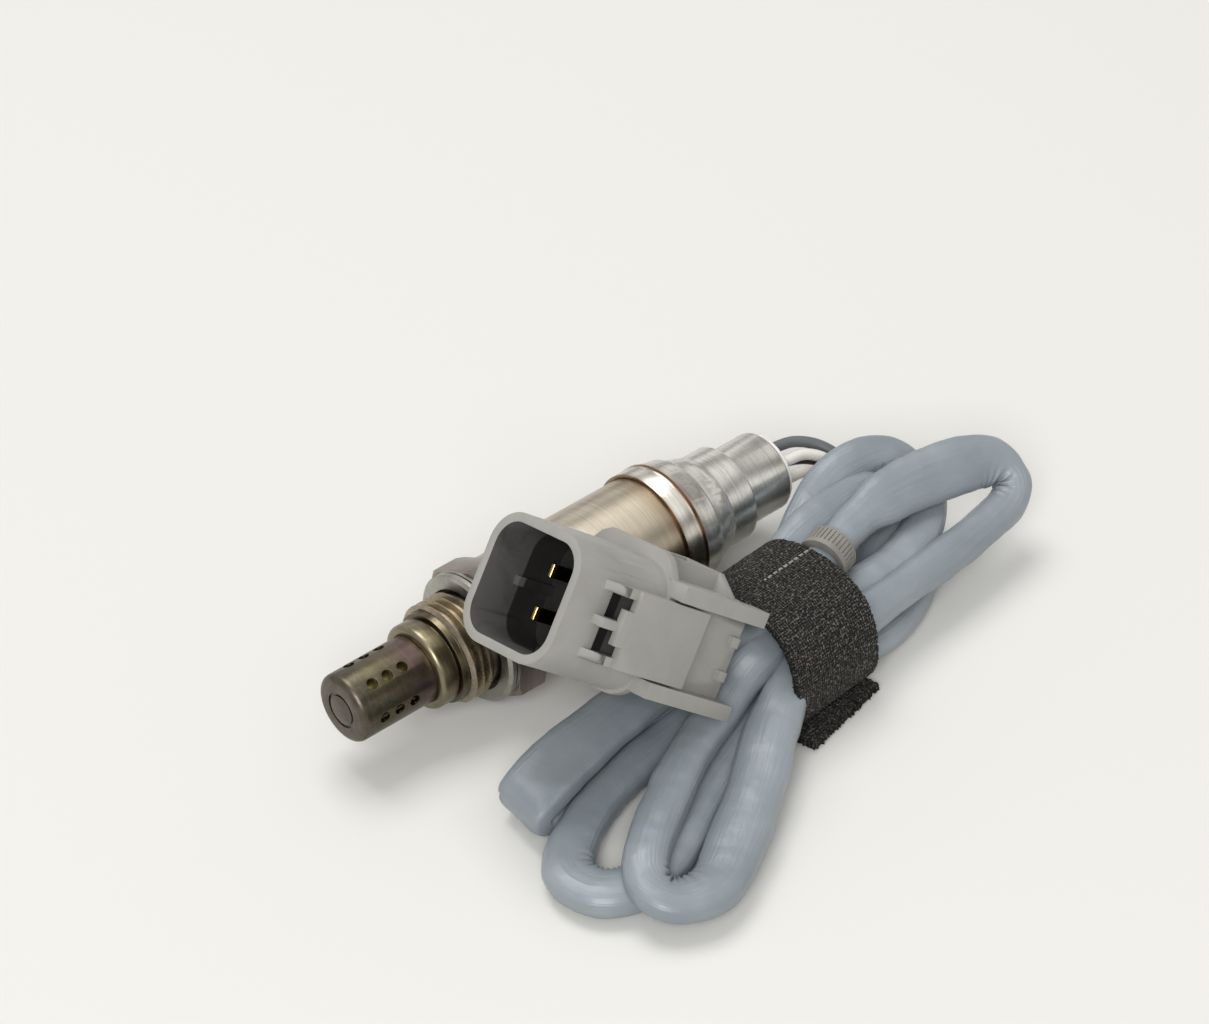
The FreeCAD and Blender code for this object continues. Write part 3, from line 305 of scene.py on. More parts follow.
select_vertices(shell, on_thread)
shrink = thread_root / thread_radius
bpy.ops.transform.resize(value=(1.0, shrink, shrink), center_override=(0.0, 0.0, axis_height))
bpy.ops.object.mode_set(mode="OBJECT")
bevelled(shell, 0.18 * mm, 2, 30.0)
place_in_scene(shell, "shell_steel", "sensor_shell")

# the rolled ridges, wound round the root at the thread's own pitch
bpy.ops.object.select_all(action="DESELECT")
bpy.ops.mesh.primitive_plane_add(size=1.0)
ridge = bpy.context.object
ridge.name = "thread_ridges"
ridge_foot = thread_root - 0.25 * mm
flank = [(0.0, ridge_foot), (1.30, ridge_foot), (0.56, thread_crest), (0.74, thread_crest)]
corners = sorted(ridge.data.vertices, key=lambda vertex: (vertex.co.x, vertex.co.y))
for corner, (station, reach) in zip(corners, flank):
    corner.co = (station * mm, 0.0, reach)
work_on(ridge)
bpy.ops.mesh.delete(type="ONLY_FACE")
bpy.ops.object.mode_set(mode="OBJECT")
winding = ridge.modifiers.new("winding", "SCREW")
winding.axis = "X"
winding.angle = 2.0 * math.pi
winding.screw_offset = thread_pitch
winding.iterations = 5
winding.steps = 72
winding.render_steps = 72
winding.use_merge_vertices = True
winding.merge_threshold = 0.000002
bpy.ops.object.modifier_apply(modifier=winding.name)
work_on(ridge)
bpy.ops.transform.translate(value=(thread_front - 1.6 * mm, 0.0, axis_height))
for station, outward in ((thread_front + 0.05 * mm, -1.0), (thread_rear - 0.05 * mm, 1.0)):
    bpy.ops.mesh.select_all(action="SELECT")
    bpy.ops.mesh.bisect(plane_co=(station, 0.0, 0.0), plane_no=(outward, 0.0, 0.0), use_fill=True,
                        clear_outer=True)
bpy.ops.mesh.select_all(action="SELECT")
bpy.ops.mesh.normals_make_consistent(inside=False)
bpy.ops.object.mode_set(mode="OBJECT")
bpy.ops.object.shade_smooth_by_angle(angle=math.radians(25.0))
thread_steel = turned_steel("thread_steel", [
    (0.0, linear(172, 160, 142)), (0.5, linear(168, 154, 126)), (1.0, linear(158, 148, 130))],
    -27.0, -22.0, 0.18, 0.38, 300.0, stain_share=0.6)
ridge.data.materials.append(thread_steel)
place_in_scene(ridge, "shell_steel")

# Gasket: a ring of soft steel sheet folded on itself.  It is slipped over the thread and held
# against the hexagon, where it is crushed when the sensor is tightened.
gasket_steel = turned_steel("gasket_steel", [
    (0.0, linear(176, 174, 166)), (1.0, linear(160, 158, 152))], -21.1, -18.9, 0.28, 0.5, 260.0)
finish("sealing_gasket", gasket_steel)

# Inside the shell and the tube: the zirconia thimble with its heater, talc and ceramic packing,
# the contacts and their carrier.  They can't be seen, and have the plain finish of their stuff.


def fired(name, colour, scale):
    """A matte ceramic or powder with faint grain."""
    material, tree, shader = material_with_shader(name, colour, 0.7)
    darker = tuple(value * 0.88 for value in colour)
    tree.links.new(ramp(tree, noise_field(tree, scale), [(0.3, darker), (0.7, colour)]),
                   shader.inputs["Base Color"])
    tree.links.new(span(tree, noise_field(tree, scale * 2.0), 0.6, 0.8), shader.inputs["Roughness"])
    bump(tree, shader, noise_field(tree, scale * 4.0), 0.00002)
    return material


finish("sensing_element", fired("zirconia", linear(226, 222, 212), 900.0))
finish("talc_ring", fired("talc", linear(214, 214, 206), 2000.0))
white_ceramic = fired("white_ceramic", linear(232, 230, 224), 700.0)
for name in ("ceramic_bush", "contact_carrier"):
    finish(name, white_ceramic)
finish("heater_rod", fired("heater_ceramic", linear(208, 206, 200), 1200.0))
spring_metal = turned_steel("contact_metal", [
    (0.0, linear(178, 172, 160)), (1.0, linear(168, 162, 152))], -20.0, 20.0, 0.25, 0.45, 300.0)
for name in ("press_ring", "outer_contact_sleeve", "inner_contact_sleeve", "carrier_spring_clip",
             "contact_clip_1", "contact_clip_2", "contact_clip_3", "contact_clip_4"):
    finish(name, spring_metal)

# Outer tube: drawn from stainless steel, champagne coloured by the heat.  It is pressed over
# the shell's neck and welded there all round.
tube_steel = turned_steel("sleeve_tube_steel", [
    (0.00, linear(174, 165, 153)), (0.05, linear(188, 179, 165)), (0.45, linear(197, 187, 171)),
    (0.85, linear(191, 180, 161)), (0.96, linear(166, 148, 123)), (1.00, linear(112, 86, 62))],
    -13.1, 19.2, 0.24, 0.40, 90.0, stain_share=0.10)
finish("outer_sleeve_tube", tube_steel)

# Rear cover: a cap of stainless sheet, drawn in steps, crimped over the outer tube and welded.
# The weld has left a brown line round it.
cover_steel = turned_steel("cover_steel", [
    (0.00, linear(120, 90, 64)), (0.010, linear(196, 188, 174)), (0.03, linear(220, 217, 209)),
    (0.118, linear(206, 200, 188)), (0.128, linear(122, 84, 56)), (0.142, linear(112, 78, 54)),
    (0.152, linear(198, 190, 177)), (0.19, linear(214, 211, 204)), (0.70, linear(216, 214, 208)),
    (1.00, linear(209, 206, 199))], 18.4, 46.0, 0.18, 0.34, 120.0, stain_share=0.12)
cover = merged_copy("rear_cover", "rear_cover_pressed", cover_steel)
bevelled(cover, 0.22 * mm, 2, 20.0, 30.0)
place_in_scene(cover, "cover_steel", "rear_cover")

# Grommet: a moulded plug of pale, heat-proof rubber.  The cover's end is squeezed round it, so
# that it seals the four wires.
plug_rubber, tree, shader = material_with_shader("grommet_rubber", linear(232, 230, 225), 0.6)
tree.links.new(ramp(tree, noise_field(tree, 600.0), [
    (0.3, linear(218, 215, 209)), (0.7, linear(236, 234, 230))]), shader.inputs["Base Color"])
tree.links.new(span(tree, noise_field(tree, 900.0), 0.5, 0.7), shader.inputs["Roughness"])
bump(tree, shader, noise_field(tree, 1800.0), 0.00003)
finish("grommet", plug_rubber)

# Connector housing: moulded in grey glass-filled plastic, with a flange, a bridge for the
# bracket, two rails and a latch ridge.  The socket's depths are painted black as painted shade,
# and its walls and the pockets darker grey, also as painted shade.
plug_mouth = Vector((-26.7, -21.1, 40.1)) * mm
plug_rearward = Vector((0.771, -0.145, -0.620)).normalized()
plug_up = Vector((0.636, 0.158, 0.755))
plug_up = (plug_up - plug_rearward * plug_up.dot(plug_rearward)).normalized()
plug_side = plug_up.cross(plug_rearward)


def in_plug(place):
    """A point in the connector's own frame, in millimetres: rearward, sideways and up."""
    offset = (place - plug_mouth) / mm
    return offset.dot(plug_rearward), offset.dot(plug_side), offset.dot(plug_up)


def moulded(name, colour, dark, rough_low, rough_high, grain=420.0):
    """Moulded plastic: faint flow marks, small scuffs and a fine spark-eroded grain."""
    material, tree, shader = material_with_shader(name, colour, rough_low)
    flow = noise_field(tree, grain * 0.35, 4.0, 0.6, stretch=(1.0, 1.6, 0.7), warp=0.8)
    scuff = noise_field(tree, grain * 4.0, 5.0, 0.7)
    base = ramp(tree, flow, [(0.28, dark), (0.55, colour), (0.8, colour)])
    mark = ramp(tree, scuff, [(0.58, (0, 0, 0)), (0.78, (1, 1, 1))])
    scuffed = tuple(min(1.0, value * 1.35) for value in colour)
    tree.links.new(blend_colours(tree, "MIX", calculate(tree, "MULTIPLY", mark, 0.12), base,
                                 scuffed), shader.inputs["Base Color"])
    tree.links.new(span(tree, noise_field(tree, grain, 4.0), rough_low, rough_high),
                   shader.inputs["Roughness"])
    bump(tree, shader, noise_field(tree, grain * 9.0, 3.0), 0.000025)
    return material


def select_faces(piece, wanted):
    """Select in edit mode the faces that a test picks by their middle."""
    bpy.ops.mesh.select_mode(type="FACE")
    bpy.ops.mesh.select_all(action="DESELECT")
    bpy.ops.object.mode_set(mode="OBJECT")
    for face in piece.data.polygons:
        face.select = bool(wanted(face.center))
    bpy.ops.object.mode_set(mode="EDIT")


grey_plastic = moulded("grey_plastic", linear(153, 151, 146), linear(146, 144, 139), 0.36, 0.52)
# painted shade: black for the socket's depths, darker grey for its walls and the pockets
painted_shade_black = moulded("painted_shade_black", linear(34, 32, 31), linear(26, 25, 24), 0.55, 0.7)
painted_shade_plastic = moulded("grey_plastic_painted_shade", linear(84, 83, 81), linear(62, 61, 60), 0.5, 0.66)
housing = merged_copy("connector_housing", "connector_housing_moulded", grey_plastic)
# where the black painted shade and the bridge begin, and how high the edges of the pockets are
painted_black_depth, bridge_start = 8.2, 11.2
rib_half, pocket_half = 0.75, 4.8
work_on(housing)
for station in (painted_black_depth, bridge_start):
    bpy.ops.mesh.select_all(action="SELECT")
    bpy.ops.mesh.bisect(plane_co=plug_mouth + plug_rearward * station * mm,
                        plane_no=plug_rearward, use_fill=False)
# the bridge's outer walls and the socket's ribs start farther in than its middle rib does
for test, slide in (
        (lambda x, y, z: x < 6.3 and y < -10.8 and 4.6 < abs(z) < 6.5, 3.4),
        (lambda x, y, z: 4.3 < x < 4.7 and abs(z) > 7.0 and abs(y) < 5.0, 3.9),
        (lambda x, y, z: 4.3 < x < 4.7 and y < -7.0, 3.9),
        (lambda x, y, z: 4.3 < x < 4.7 and y > 7.0, 2.3)):
    select_vertices(housing, lambda place: test(*in_plug(place)))
    bpy.ops.transform.translate(value=plug_rearward * slide * mm)
# two pockets beside the middle rib go down into the wall
for height in (-pocket_half, -rib_half, rib_half, pocket_half):
    bpy.ops.mesh.select_all(action="SELECT")
    bpy.ops.mesh.bisect(plane_co=plug_mouth + plug_up * height * mm, plane_no=plug_up)


def pocket_floor(place):
    """Whether a point lies on the outer wall between the middle rib and the bridge's walls."""
    depth, side, up = in_plug(place)
    return (painted_black_depth < depth < 26.0 and -10.75 < side < -10.65
            and rib_half + 0.05 < abs(up) < pocket_half)


select_faces(housing, pocket_floor)
bpy.ops.mesh.extrude_region_shrink_fatten(TRANSFORM_OT_shrink_fatten={"value": -1.0 * mm})
bpy.ops.mesh.select_all(action="SELECT")
bpy.ops.mesh.normals_make_consistent(inside=False)
bpy.ops.object.mode_set(mode="OBJECT")
bevelled(housing, 0.32 * mm, 2, 34.0, 34.0)
housing.data.materials.append(painted_shade_black)
housing.data.materials.append(painted_shade_plastic)
# faces inside the socket and in the pockets get painted shade: black deep in, darker grey nearer
# the mouth
for face in housing.data.polygons:
    depth, side, up = in_plug(face.center)
    corner = math.hypot(max(abs(side) - 4.9, 0.0), max(abs(up) - 4.9, 0.0))
    inside_socket = corner < 5.0 and 0.3 < depth < 15.4
    if inside_socket:
        face.material_index = 1 if depth > painted_black_depth - 0.02 else 2
    elif painted_black_depth < depth < 26.0 and -10.65 < side < -9.4 and abs(up) < 4.9:
        face.material_index = 2
place_in_scene(housing, "grey_plastic", "connector_housing")

# Terminals: brass blades that stand upright in the socket, stamped in one with the barrels
# that are crimped on the wires.  Their tips are gold, and deeper in the socket they turn dark
# brown.
gold, tree, shader = material_with_shader("pin_gold", linear(214, 182, 104), 0.25, 1.0)
place_node = tree.nodes.new("ShaderNodeTexCoord")
inward = tree.nodes.new("ShaderNodeVectorMath")
inward.operation = "DOT_PRODUCT"
inward.inputs[1].default_value = plug_rearward
tree.links.new(place_node.outputs["Object"], inward.inputs[0])
depth_share = tree.nodes.new("ShaderNodeMapRange")
depth_share.inputs["From Min"].default_value = plug_mouth.dot(plug_rearward) + 8.0 * mm
depth_share.inputs["From Max"].default_value = plug_mouth.dot(plug_rearward) + 11.0 * mm
tree.links.new(inward.outputs["Value"], depth_share.inputs["Value"])
gold_tone = ramp(tree, noise_field(tree, 700.0), [
    (0.3, linear(206, 174, 100)), (0.7, linear(236, 212, 146))])
root_share = ramp(tree, depth_share.outputs["Result"], [(0.12, (0, 0, 0)), (0.42, (1, 1, 1))])
tree.links.new(blend_colours(tree, "MIX", root_share, gold_tone, linear(62, 56, 46)),
               shader.inputs["Base Color"])
tree.links.new(span(tree, noise_field(tree, 900.0), 0.2, 0.36), shader.inputs["Roughness"])
bump(tree, shader, noise_field(tree, 3000.0, 2.0, stretch=(0.1, 1.0, 1.0)), 0.000008)
for number in range(1, 5):
    finish("pin_terminal_%d" % number, gold)

# Rear seal and its cover: a soft rubber mat round the four wires, pushed into the housing's
# rear and held by a plate moulded in the same grey plastic.
seal_rubber = moulded("seal_rubber", linear(78, 78, 78), linear(66, 66, 66), 0.6, 0.75)
finish("rear_seal", seal_rubber)
finish("rear_seal_cover", grey_plastic)

# Ribbed collar: a ring moulded in grey plastic, finely ribbed outside for the fingers.  It is
# pushed over the sleeve and sits beside the tie.
collar_plastic = moulded("collar_plastic", linear(134, 131, 124), linear(118, 115, 109), 0.42, 0.6)
collar_middle = Vector((35.6, -26.0, 15.5)) * mm
collar_ahead = Vector((7.5, 2.0, 0.7)).normalized()
bpy.ops.object.select_all(action="DESELECT")
bpy.ops.mesh.primitive_cylinder_add(vertices=144, radius=4.45 * mm, depth=4.0 * mm,
                                    end_fill_type="NOTHING")
collar = bpy.context.object
collar.name = "ribbed_collar_moulded"
collar.data.materials.append(collar_plastic)
work_on(collar)
bpy.ops.mesh.bisect(plane_co=(0, 0, -0.95 * mm), plane_no=(0, 0, 1))
bpy.ops.mesh.select_all(action="SELECT")
bpy.ops.mesh.bisect(plane_co=(0, 0, 1.7 * mm), plane_no=(0, 0, 1))


def in_groove(place):
    """Whether a face belongs to one of the 36 grooves round the collar."""
    turn = math.degrees(math.atan2(place.y, place.x)) % 10.0
    return -0.9 * mm < place.z < 1.6 * mm and turn < 2.5


select_faces(collar, in_groove)
bpy.ops.mesh.extrude_region_shrink_fatten(TRANSFORM_OT_shrink_fatten={"value": -0.28 * mm})
bpy.ops.object.mode_set(mode="OBJECT")
ring_wall = collar.modifiers.new("wall", "SOLIDIFY")
ring_wall.thickness = 1.3 * mm
ring_wall.offset = -1.0
bpy.ops.object.modifier_apply(modifier=ring_wall.name)
work_on(collar)
bpy.ops.mesh.remove_doubles(threshold=0.000005)
bpy.ops.mesh.normals_make_consistent(inside=False)
bpy.ops.object.mode_set(mode="OBJECT")
collar.rotation_euler = collar_ahead.to_track_quat("Z", "Y").to_euler()
collar.location = collar_middle
bpy.ops.object.transform_apply(location=True, rotation=True, scale=True)
bevelled(collar, 0.07 * mm, 2, 30.0, 30.0)
place_in_scene(collar, "collar_plastic", "ribbed_collar")

# Lead sleeve: one soft blue-grey tube of plasticised vinyl, pressed flat, with the four wires
# inside.  It is folded back and forth through the tie, and creased where it turns back.
sleeve_colour = linear(135, 143, 149)
sleeve_material, tree, shader = material_with_shader("sleeve_pvc", sleeve_colour, 0.42)
cloud = noise_field(tree, 60.0, 3.0)
streak = noise_field(tree, 420.0, 4.0, 0.6)
tone = ramp(tree, cloud, [(0.30, linear(125, 134, 141)), (0.52, sleeve_colour),
                          (0.75, linear(145, 153, 159))])
dirt = ramp(tree, streak, [(0.60, (0, 0, 0)), (0.82, (1, 1, 1))])
tree.links.new(blend_colours(tree, "MIX", calculate(tree, "MULTIPLY", dirt, 0.16), tone,
                             linear(116, 124, 131)), shader.inputs["Base Color"])
tree.links.new(span(tree, noise_field(tree, 380.0, 3.0), 0.24, 0.40), shader.inputs["Roughness"])
bump(tree, shader, noise_field(tree, 900.0, 4.0), 0.00005)
# fine lines run along the tube, left by the die it was drawn through
along_tube = tree.nodes.new("ShaderNodeTexCoord")
line_stretch = tree.nodes.new("ShaderNodeMapping")
line_stretch.inputs["Scale"].default_value = (46.0, 60.0, 1.0)
tree.links.new(along_tube.outputs["UV"], line_stretch.inputs["Vector"])
die_lines = tree.nodes.new("ShaderNodeTexNoise")
die_lines.inputs["Scale"].default_value = 1.0
die_lines.inputs["Detail"].default_value = 4.0
tree.links.new(line_stretch.outputs["Vector"], die_lines.inputs["Vector"])
bump(tree, shader, die_lines.outputs["Fac"], 0.00012)

# the sleeve's route through the folds, from the sensor to the connector.  Each point has its
# place, then the sleeve's width and thickness there in millimetres, how many degrees its flat
# side leans over to the front and, where it is creased, how square its section is
passes = {
    "entry": [(60, -11, 7.2, 8.4, 6.0, 0), (62.8, -14.6, 5.0, 8.4, 5.6, 0),
              (62.9, -18.6, 3.8, 8.2, 5.2, 0), (60.7, -22.4, 3.0, 8, 5, 0),
              (56.2, -28.6, 2.8, 8, 5, 0), (47.6, -33.5, 2.9, 8, 5.2, 0),
              (40, -36.3, 3.4, 8, 5.2, 0), (30.7, -37.2, 4.6, 7.4, 5, 0),
              (25.7, -37.4, 5.3, 7, 5, 0)],
    "middle_fold": [(13.6, -37.2, 5.3, 7, 5, 0), (7.4, -38.6, 4.4, 8, 5.4, 0),
                    (0, -40.8, 3.2, 8.4, 5.4, 0), (-11, -45.6, 3.2, 8.4, 5.4, 0),
                    (-21.5, -51, 3.1, 8.4, 5.4, 0), (-31.5, -54.4, 3.1, 8.8, 5.6, 0),
                    (-38, -50.8, 3.1, 9, 5.6, 0), (-38.4, -43.5, 3.1, 8.6, 5.4, 0),
                    (-29.4, -37.6, 3.1, 7.6, 5.2, 0), (-20.4, -34.4, 3.1, 7.4, 5.2, 0),
                    (-10.5, -32.4, 3.1, 7.8, 5.2, 0), (0, -31.6, 3.3, 8, 5.4, 0),
                    (8.6, -30.6, 4.4, 7.4, 5.2, 0), (15.1, -29.9, 5.3, 7, 5, 0)],
    "inner_loop": [(25.3, -31.9, 5, 7, 5, 0), (30.3, -31.6, 5, 7.6, 5.2, 0),
                   (45.2, -26.0, 5.6, 7.6, 5, 0), (51.5, -23.4, 7.2, 7.4, 5, 0),
                   (56.6, -21.6, 8.6, 7.4, 4.8, 0), (59.6, -19.6, 10.8, 7.4, 4.6, 0),
                   (58.4, -17.8, 12.9, 7.4, 4.6, 0), (53.5, -17.6, 14.6, 7.2, 4.8, 20),
                   (46.4, -18, 15.4, 7.4, 5, 40), (38.9, -19.2, 15.6, 7.8, 5, 45),
                   (33.9, -20.1, 14.8, 7.8, 5.2, 35), (23.8, -23.5, 13.2, 7, 5, 10)],
    "front_fold": [(14.9, -33.6, 11.5, 7.4, 5.4, 0), (8.5, -34.6, 10.6, 7.4, 5.6, 0),
                   (0.8, -37, 8.8, 7.4, 5.8, 0), (-9.4, -40.9, 8.5, 7.2, 5.8, 0),
                   (-20.4, -46.9, 8.3, 7.2, 5.8, 0), (-32.0, -54.4, 7.0, 7.6, 5.6, 0),
                   (-32.4, -60.4, 5.0, 8.6, 5.2, 0), (-25.0, -63.6, 4.2, 9.2, 5.4, 0),
                   (-14.6, -57.8, 4.6, 9.4, 5.8, 0), (-4.8, -52.0, 5.8, 9.2, 5.8, 0),
                   (3.8, -45.6, 7.7, 8.8, 5.8, 0), (14.3, -39.7, 9.0, 7.6, 5.4, 0)],
    "outer_loop": [(24.7, -38.3, 11.6, 7.2, 5.2, 30), (31.2, -38, 11.2, 7.0, 5.4, 45),
                   (43.5, -35.9, 10, 6.6, 5.6, 50), (55.5, -35, 9.8, 6.8, 5.8, 50),
                   (65, -33.8, 10, 6.8, 5.8, 50), (73.5, -32.4, 10.2, 6.6, 5.6, 50),
                   (76.6, -29.8, 12.8, 7.0, 5.0, 45), (73.8, -26.4, 15.8, 9.0, 4.8, 48),
                   (66.5, -25.1, 17.3, 9.8, 4.8, 50), (59.8, -23.6, 17.0, 10, 4.8, 51),
                   (52.3, -22.9, 17.0, 9.2, 4.8, 48), (45.2, -23.4, 16.3, 6.8, 5, 40),
                   (37.5, -25.5, 15.8, 6.2, 5.4, 20), (30, -27.5, 14.9, 6, 5.6, 0),
                   (24.1, -29.7, 13.6, 6.4, 5.4, 0)],
    "rear_fold": [(16.4, -26.4, 10.2, 7, 4.8, 0), (8, -25.4, 9.2, 8.8, 5, 0),
                  (-4, -25.4, 8.4, 9.8, 5, 0), (-14, -26.2, 7.9, 10.4, 4.8, 0),
                  (-24, -27.9, 7.5, 10.8, 4.6, 0, 3.4),
                  (-31.6, -29.5, 7.0, 11, 4.2, 0, 4.5), (-35.4, -30.5, 5.0, 11, 3.8, 0, 5),
                  (-31.6, -29.7, 2.7, 11, 4.2, 0, 4.5), (-24, -28.3, 2.6, 10.6, 4.6, 0, 3.4),
                  (-14, -26.8, 2.7, 10.2, 4.8, 0), (-4, -26.2, 3.1, 9.6, 5, 0),
                  (8, -26.4, 4.8, 8.4, 5, 0),
                  (16.4, -26.6, 6.4, 7, 4.8, 0)],
    "back_loop": [(24.5, -24.3, 8.2, 7, 5, 0), (44.2, -12.4, 11, 7.4, 5.2, 20),
                  (50.1, -11.4, 14.8, 7.4, 5.2, 40), (56.2, -11.4, 16, 7.6, 5.0, 45),
                  (61.8, -12.9, 15.6, 7.8, 4.6, 20), (64.6, -16.4, 13.4, 7.8, 4.4, 0),
                  (63.7, -21.5, 11.2, 7.6, 4.6, 0), (58.9, -26.8, 10.2, 7.6, 5.0, 10),
                  (51.6, -29.7, 10, 7.4, 5.2, 20), (45.0, -31.5, 10, 7.2, 5.2, 20),
                  (30.7, -30.9, 10.6, 7, 5, 0), (24.6, -31.4, 10.5, 7, 5, 0)],
    "plug_end": [(17.6, -29.4, 13.5, 7, 5, 0), (12, -28.6, 12.6, 6.8, 5.8, 0),
                 (7.4, -27.5, 12.9, 6.6, 6.2, 0), (3.5, -26.8, 15.8, 6.4, 6.4, 0)],
}
sleeve_points = [point for part in passes.values() for point in part]


def smooth_curve(name, points, resolution=16):
    """A NURBS curve with control points given in millimetres."""
    curve = bpy.data.curves.new(name, "CURVE")
    curve.dimensions = "3D"
    curve.resolution_u = resolution
    line = curve.splines.new("NURBS")
    line.points.add(len(points) - 1)
    for control, point in zip(line.points, points):
        control.co = (point[0] * mm, point[1] * mm, point[2] * mm, 1.0)
    line.order_u = 3
    line.use_endpoint_u = True
    return curve


def curve_line(curve):
    """The points along a curve's own smooth line."""
    holder = bpy.data.objects.new("line_holder", curve)
    scene.collection.objects.link(holder)
    bpy.context.view_layer.update()
    mesh = bpy.data.meshes.new_from_object(holder)
    points = [vertex.co.copy() for vertex in mesh.vertices]
    bpy.data.objects.remove(holder)
    bpy.data.meshes.remove(mesh)
    return points


def even_spacing(points, step):
    """Points at equal distances along a line, each with its share of the count of points."""
    lengths = [0.0]
    for before, after in zip(points, points[1:]):
        lengths.append(lengths[-1] + (after - before).length)
    total = lengths[-1]
    count = max(2, int(round(total / step)))
    result = []
    index = 0
    for number in range(count + 1):
        target = total * number / count
        while index < len(lengths) - 2 and lengths[index + 1] < target:
            index += 1
        part = (target - lengths[index]) / max(lengths[index + 1] - lengths[index], 1e-12)
        result.append((points[index].lerp(points[index + 1], part),
                       (index + part) / (len(points) - 1)))
    return result, total


def mesh_object(name, vertices, faces, material):
    """A smooth piece from its own vertices and faces."""
    mesh = bpy.data.meshes.new(name)
    mesh.from_pydata([tuple(vertex) for vertex in vertices], [], faces)
    mesh.materials.append(material)
    for polygon in mesh.polygons:
        polygon.use_smooth = True
    mesh.update()
    piece = bpy.data.objects.new(name, mesh)
    scene.collection.objects.link(piece)
    return piece


def face_outwards(piece):
    """Turn all faces of a closed piece outwards."""
    work_on(piece)
    bpy.ops.mesh.normals_make_consistent(inside=False)
    bpy.ops.object.mode_set(mode="OBJECT")


def flattened_tube(name, curve, settings, step, around, material, fixed=None, crinkle=0.0,
                   squareness=2.5):
    """A tube along a curve with its own width, thickness and lean at each point of the curve.

    Where the curve turns sharply, its inner side is drawn in with small pleats.
    """
    fixed = fixed or {}
    look_ahead = 5
    crease_start = 0.25
    pleat_length = 2.1 * mm
    dents = 0.22 * mm if crinkle else 0.0
    samples, length = even_spacing(curve_line(curve), step)
    places = [sample[0] for sample in samples]
    last = len(settings) - 1
    spots = [0.0] + [number - 0.5 for number in range(1, last)] + [last - 1.0]
    controls = [Vector(setting[:3]) * mm for setting in settings]
    wides = []
    for number, setting in enumerate(settings):
        ahead = controls[min(number + 1, last)] - controls[max(number - 1, 0)]
        ahead.normalize()
        if number in fixed:
            wide = Vector(fixed[number])
        else:
            lean = math.radians(setting[5])
            wide = ahead.cross(Vector((0, 0, math.cos(lean))) - camera_heading * math.sin(lean))
        wide = (wide - ahead * wide.dot(ahead)).normalized()
        if wides and wide.dot(wides[-1]) < 0:
            wide = -wide
        wides.append(wide)
    vertices = []
    spans = len(places) - 1
    for number, (place, share) in enumerate(samples):
        spot = share * (last - 1.0)
        index = 0
        while index < last - 1 and spots[index + 1] < spot:
            index += 1
        part = (spot - spots[index]) / (spots[index + 1] - spots[index])
        part = part * part * (3.0 - 2.0 * part)
        square = [setting[6] if len(setting) > 6 else squareness
                  for setting in settings[index:index + 2]]
        square = square[0] * (1 - part) + square[1] * part
        width = (settings[index][3] * (1 - part) + settings[index + 1][3] * part) * mm / 2
        depth = (settings[index][4] * (1 - part) + settings[index + 1][4] * part) * mm / 2
        before = places[max(number - 1, 0)]
        after = places[min(number + 1, spans)]
        ahead = (after - before).normalized()
        far = places[min(number + look_ahead, spans)] - place
        near = place - places[max(number - look_ahead, 0)]
        bend = Vector((0, 0, 0))
        if far.length > 1e-6 and near.length > 1e-6:
            bend = (far.normalized() - near.normalized()) / ((far.length + near.length) / 2)
        wide = wides[index].lerp(wides[index + 1], part)
        wide = (wide - ahead * wide.dot(ahead)).normalized()
        thick = ahead.cross(wide)
        tight = min(bend.length * 0.006, 1.4)
        inward = bend.normalized() if bend.length > 1e-3 else Vector((0, 0, 0))
        flutter = 1.0 + 0.05 * noise.noise(place * 90.0)
        for turn in range(around):
            angle = 2.0 * math.pi * turn / around
            cosine, sine = math.cos(angle), math.sin(angle)
            across = math.copysign(abs(cosine) ** (2.0 / square), cosine) * width * flutter
            up = math.copysign(abs(sine) ** (2.0 / square), sine) * depth
            offset = wide * across + thick * up
            offset += offset.normalized() * dents * (
                noise.noise((place + offset) * 150.0) + 0.5 * noise.noise((place + offset) * 420.0))
            side = offset.normalized().dot(inward)
            if crinkle and tight > crease_start and side > 0.0:
                wave = math.sin(length * number / spans / pleat_length * 2.0 * math.pi
                                + 2.0 * noise.noise(place * 260.0))
                offset -= inward * (side * side * (tight - crease_start) * crinkle
                                    * (0.55 + 0.45 * wave))
            vertices.append(place + offset)
    faces = []
    for number in range(spans):
        for turn in range(around):
            a = number * around + turn
            b = number * around + (turn + 1) % around
            faces.append((a, b, b + around, a + around))
    faces.append(tuple(reversed(range(around))))
    faces.append(tuple(range(spans * around, spans * around + around)))
    piece = mesh_object(name, vertices, faces, material)
    tube_map = piece.data.uv_layers.new(name="tube")
    for corner in piece.data.loops:
        number, turn = divmod(corner.vertex_index, around)
        tube_map.data[corner.index].uv = (abs(turn / around - 0.5), length * number / spans)
    face_outwards(piece)
    return piece, places, length


# where the tube turns straight up or down, its flat side faces a set way
upright = {}
for part_name, middle, heading in (("inner_loop", 5, (-0.3, 1, 0)), ("rear_fold", 6, (0.18, 1, 0))):
    turning_point = sleeve_points.index(passes[part_name][middle])
    for number in (turning_point - 1, turning_point, turning_point + 1):
        upright[number] = heading
sleeve, sleeve_line, sleeve_length = flattened_tube(
    "lead_sleeve", smooth_curve("sleeve_line", sleeve_points), sleeve_points, 0.5 * mm, 32,
    sleeve_material, upright, crinkle=0.0013)
place_in_scene(sleeve, "lead_sleeve", "lead_hank")

# Wires between the sensor and the sleeve: four thin insulated wires, grey, black and two white,
# leave the grommet and bend round together into the sleeve's open end.
wire_colours = {"lead_grey": linear(92, 95, 97), "lead_white_rear": linear(222, 219, 211),
                "lead_black": linear(30, 30, 31), "lead_white_front": linear(218, 214, 205)}
# where each wire is in the bunch, in degrees round its middle
wire_turns = {"lead_grey": 45, "lead_white_rear": 135, "lead_black": -45, "lead_white_front": -135}
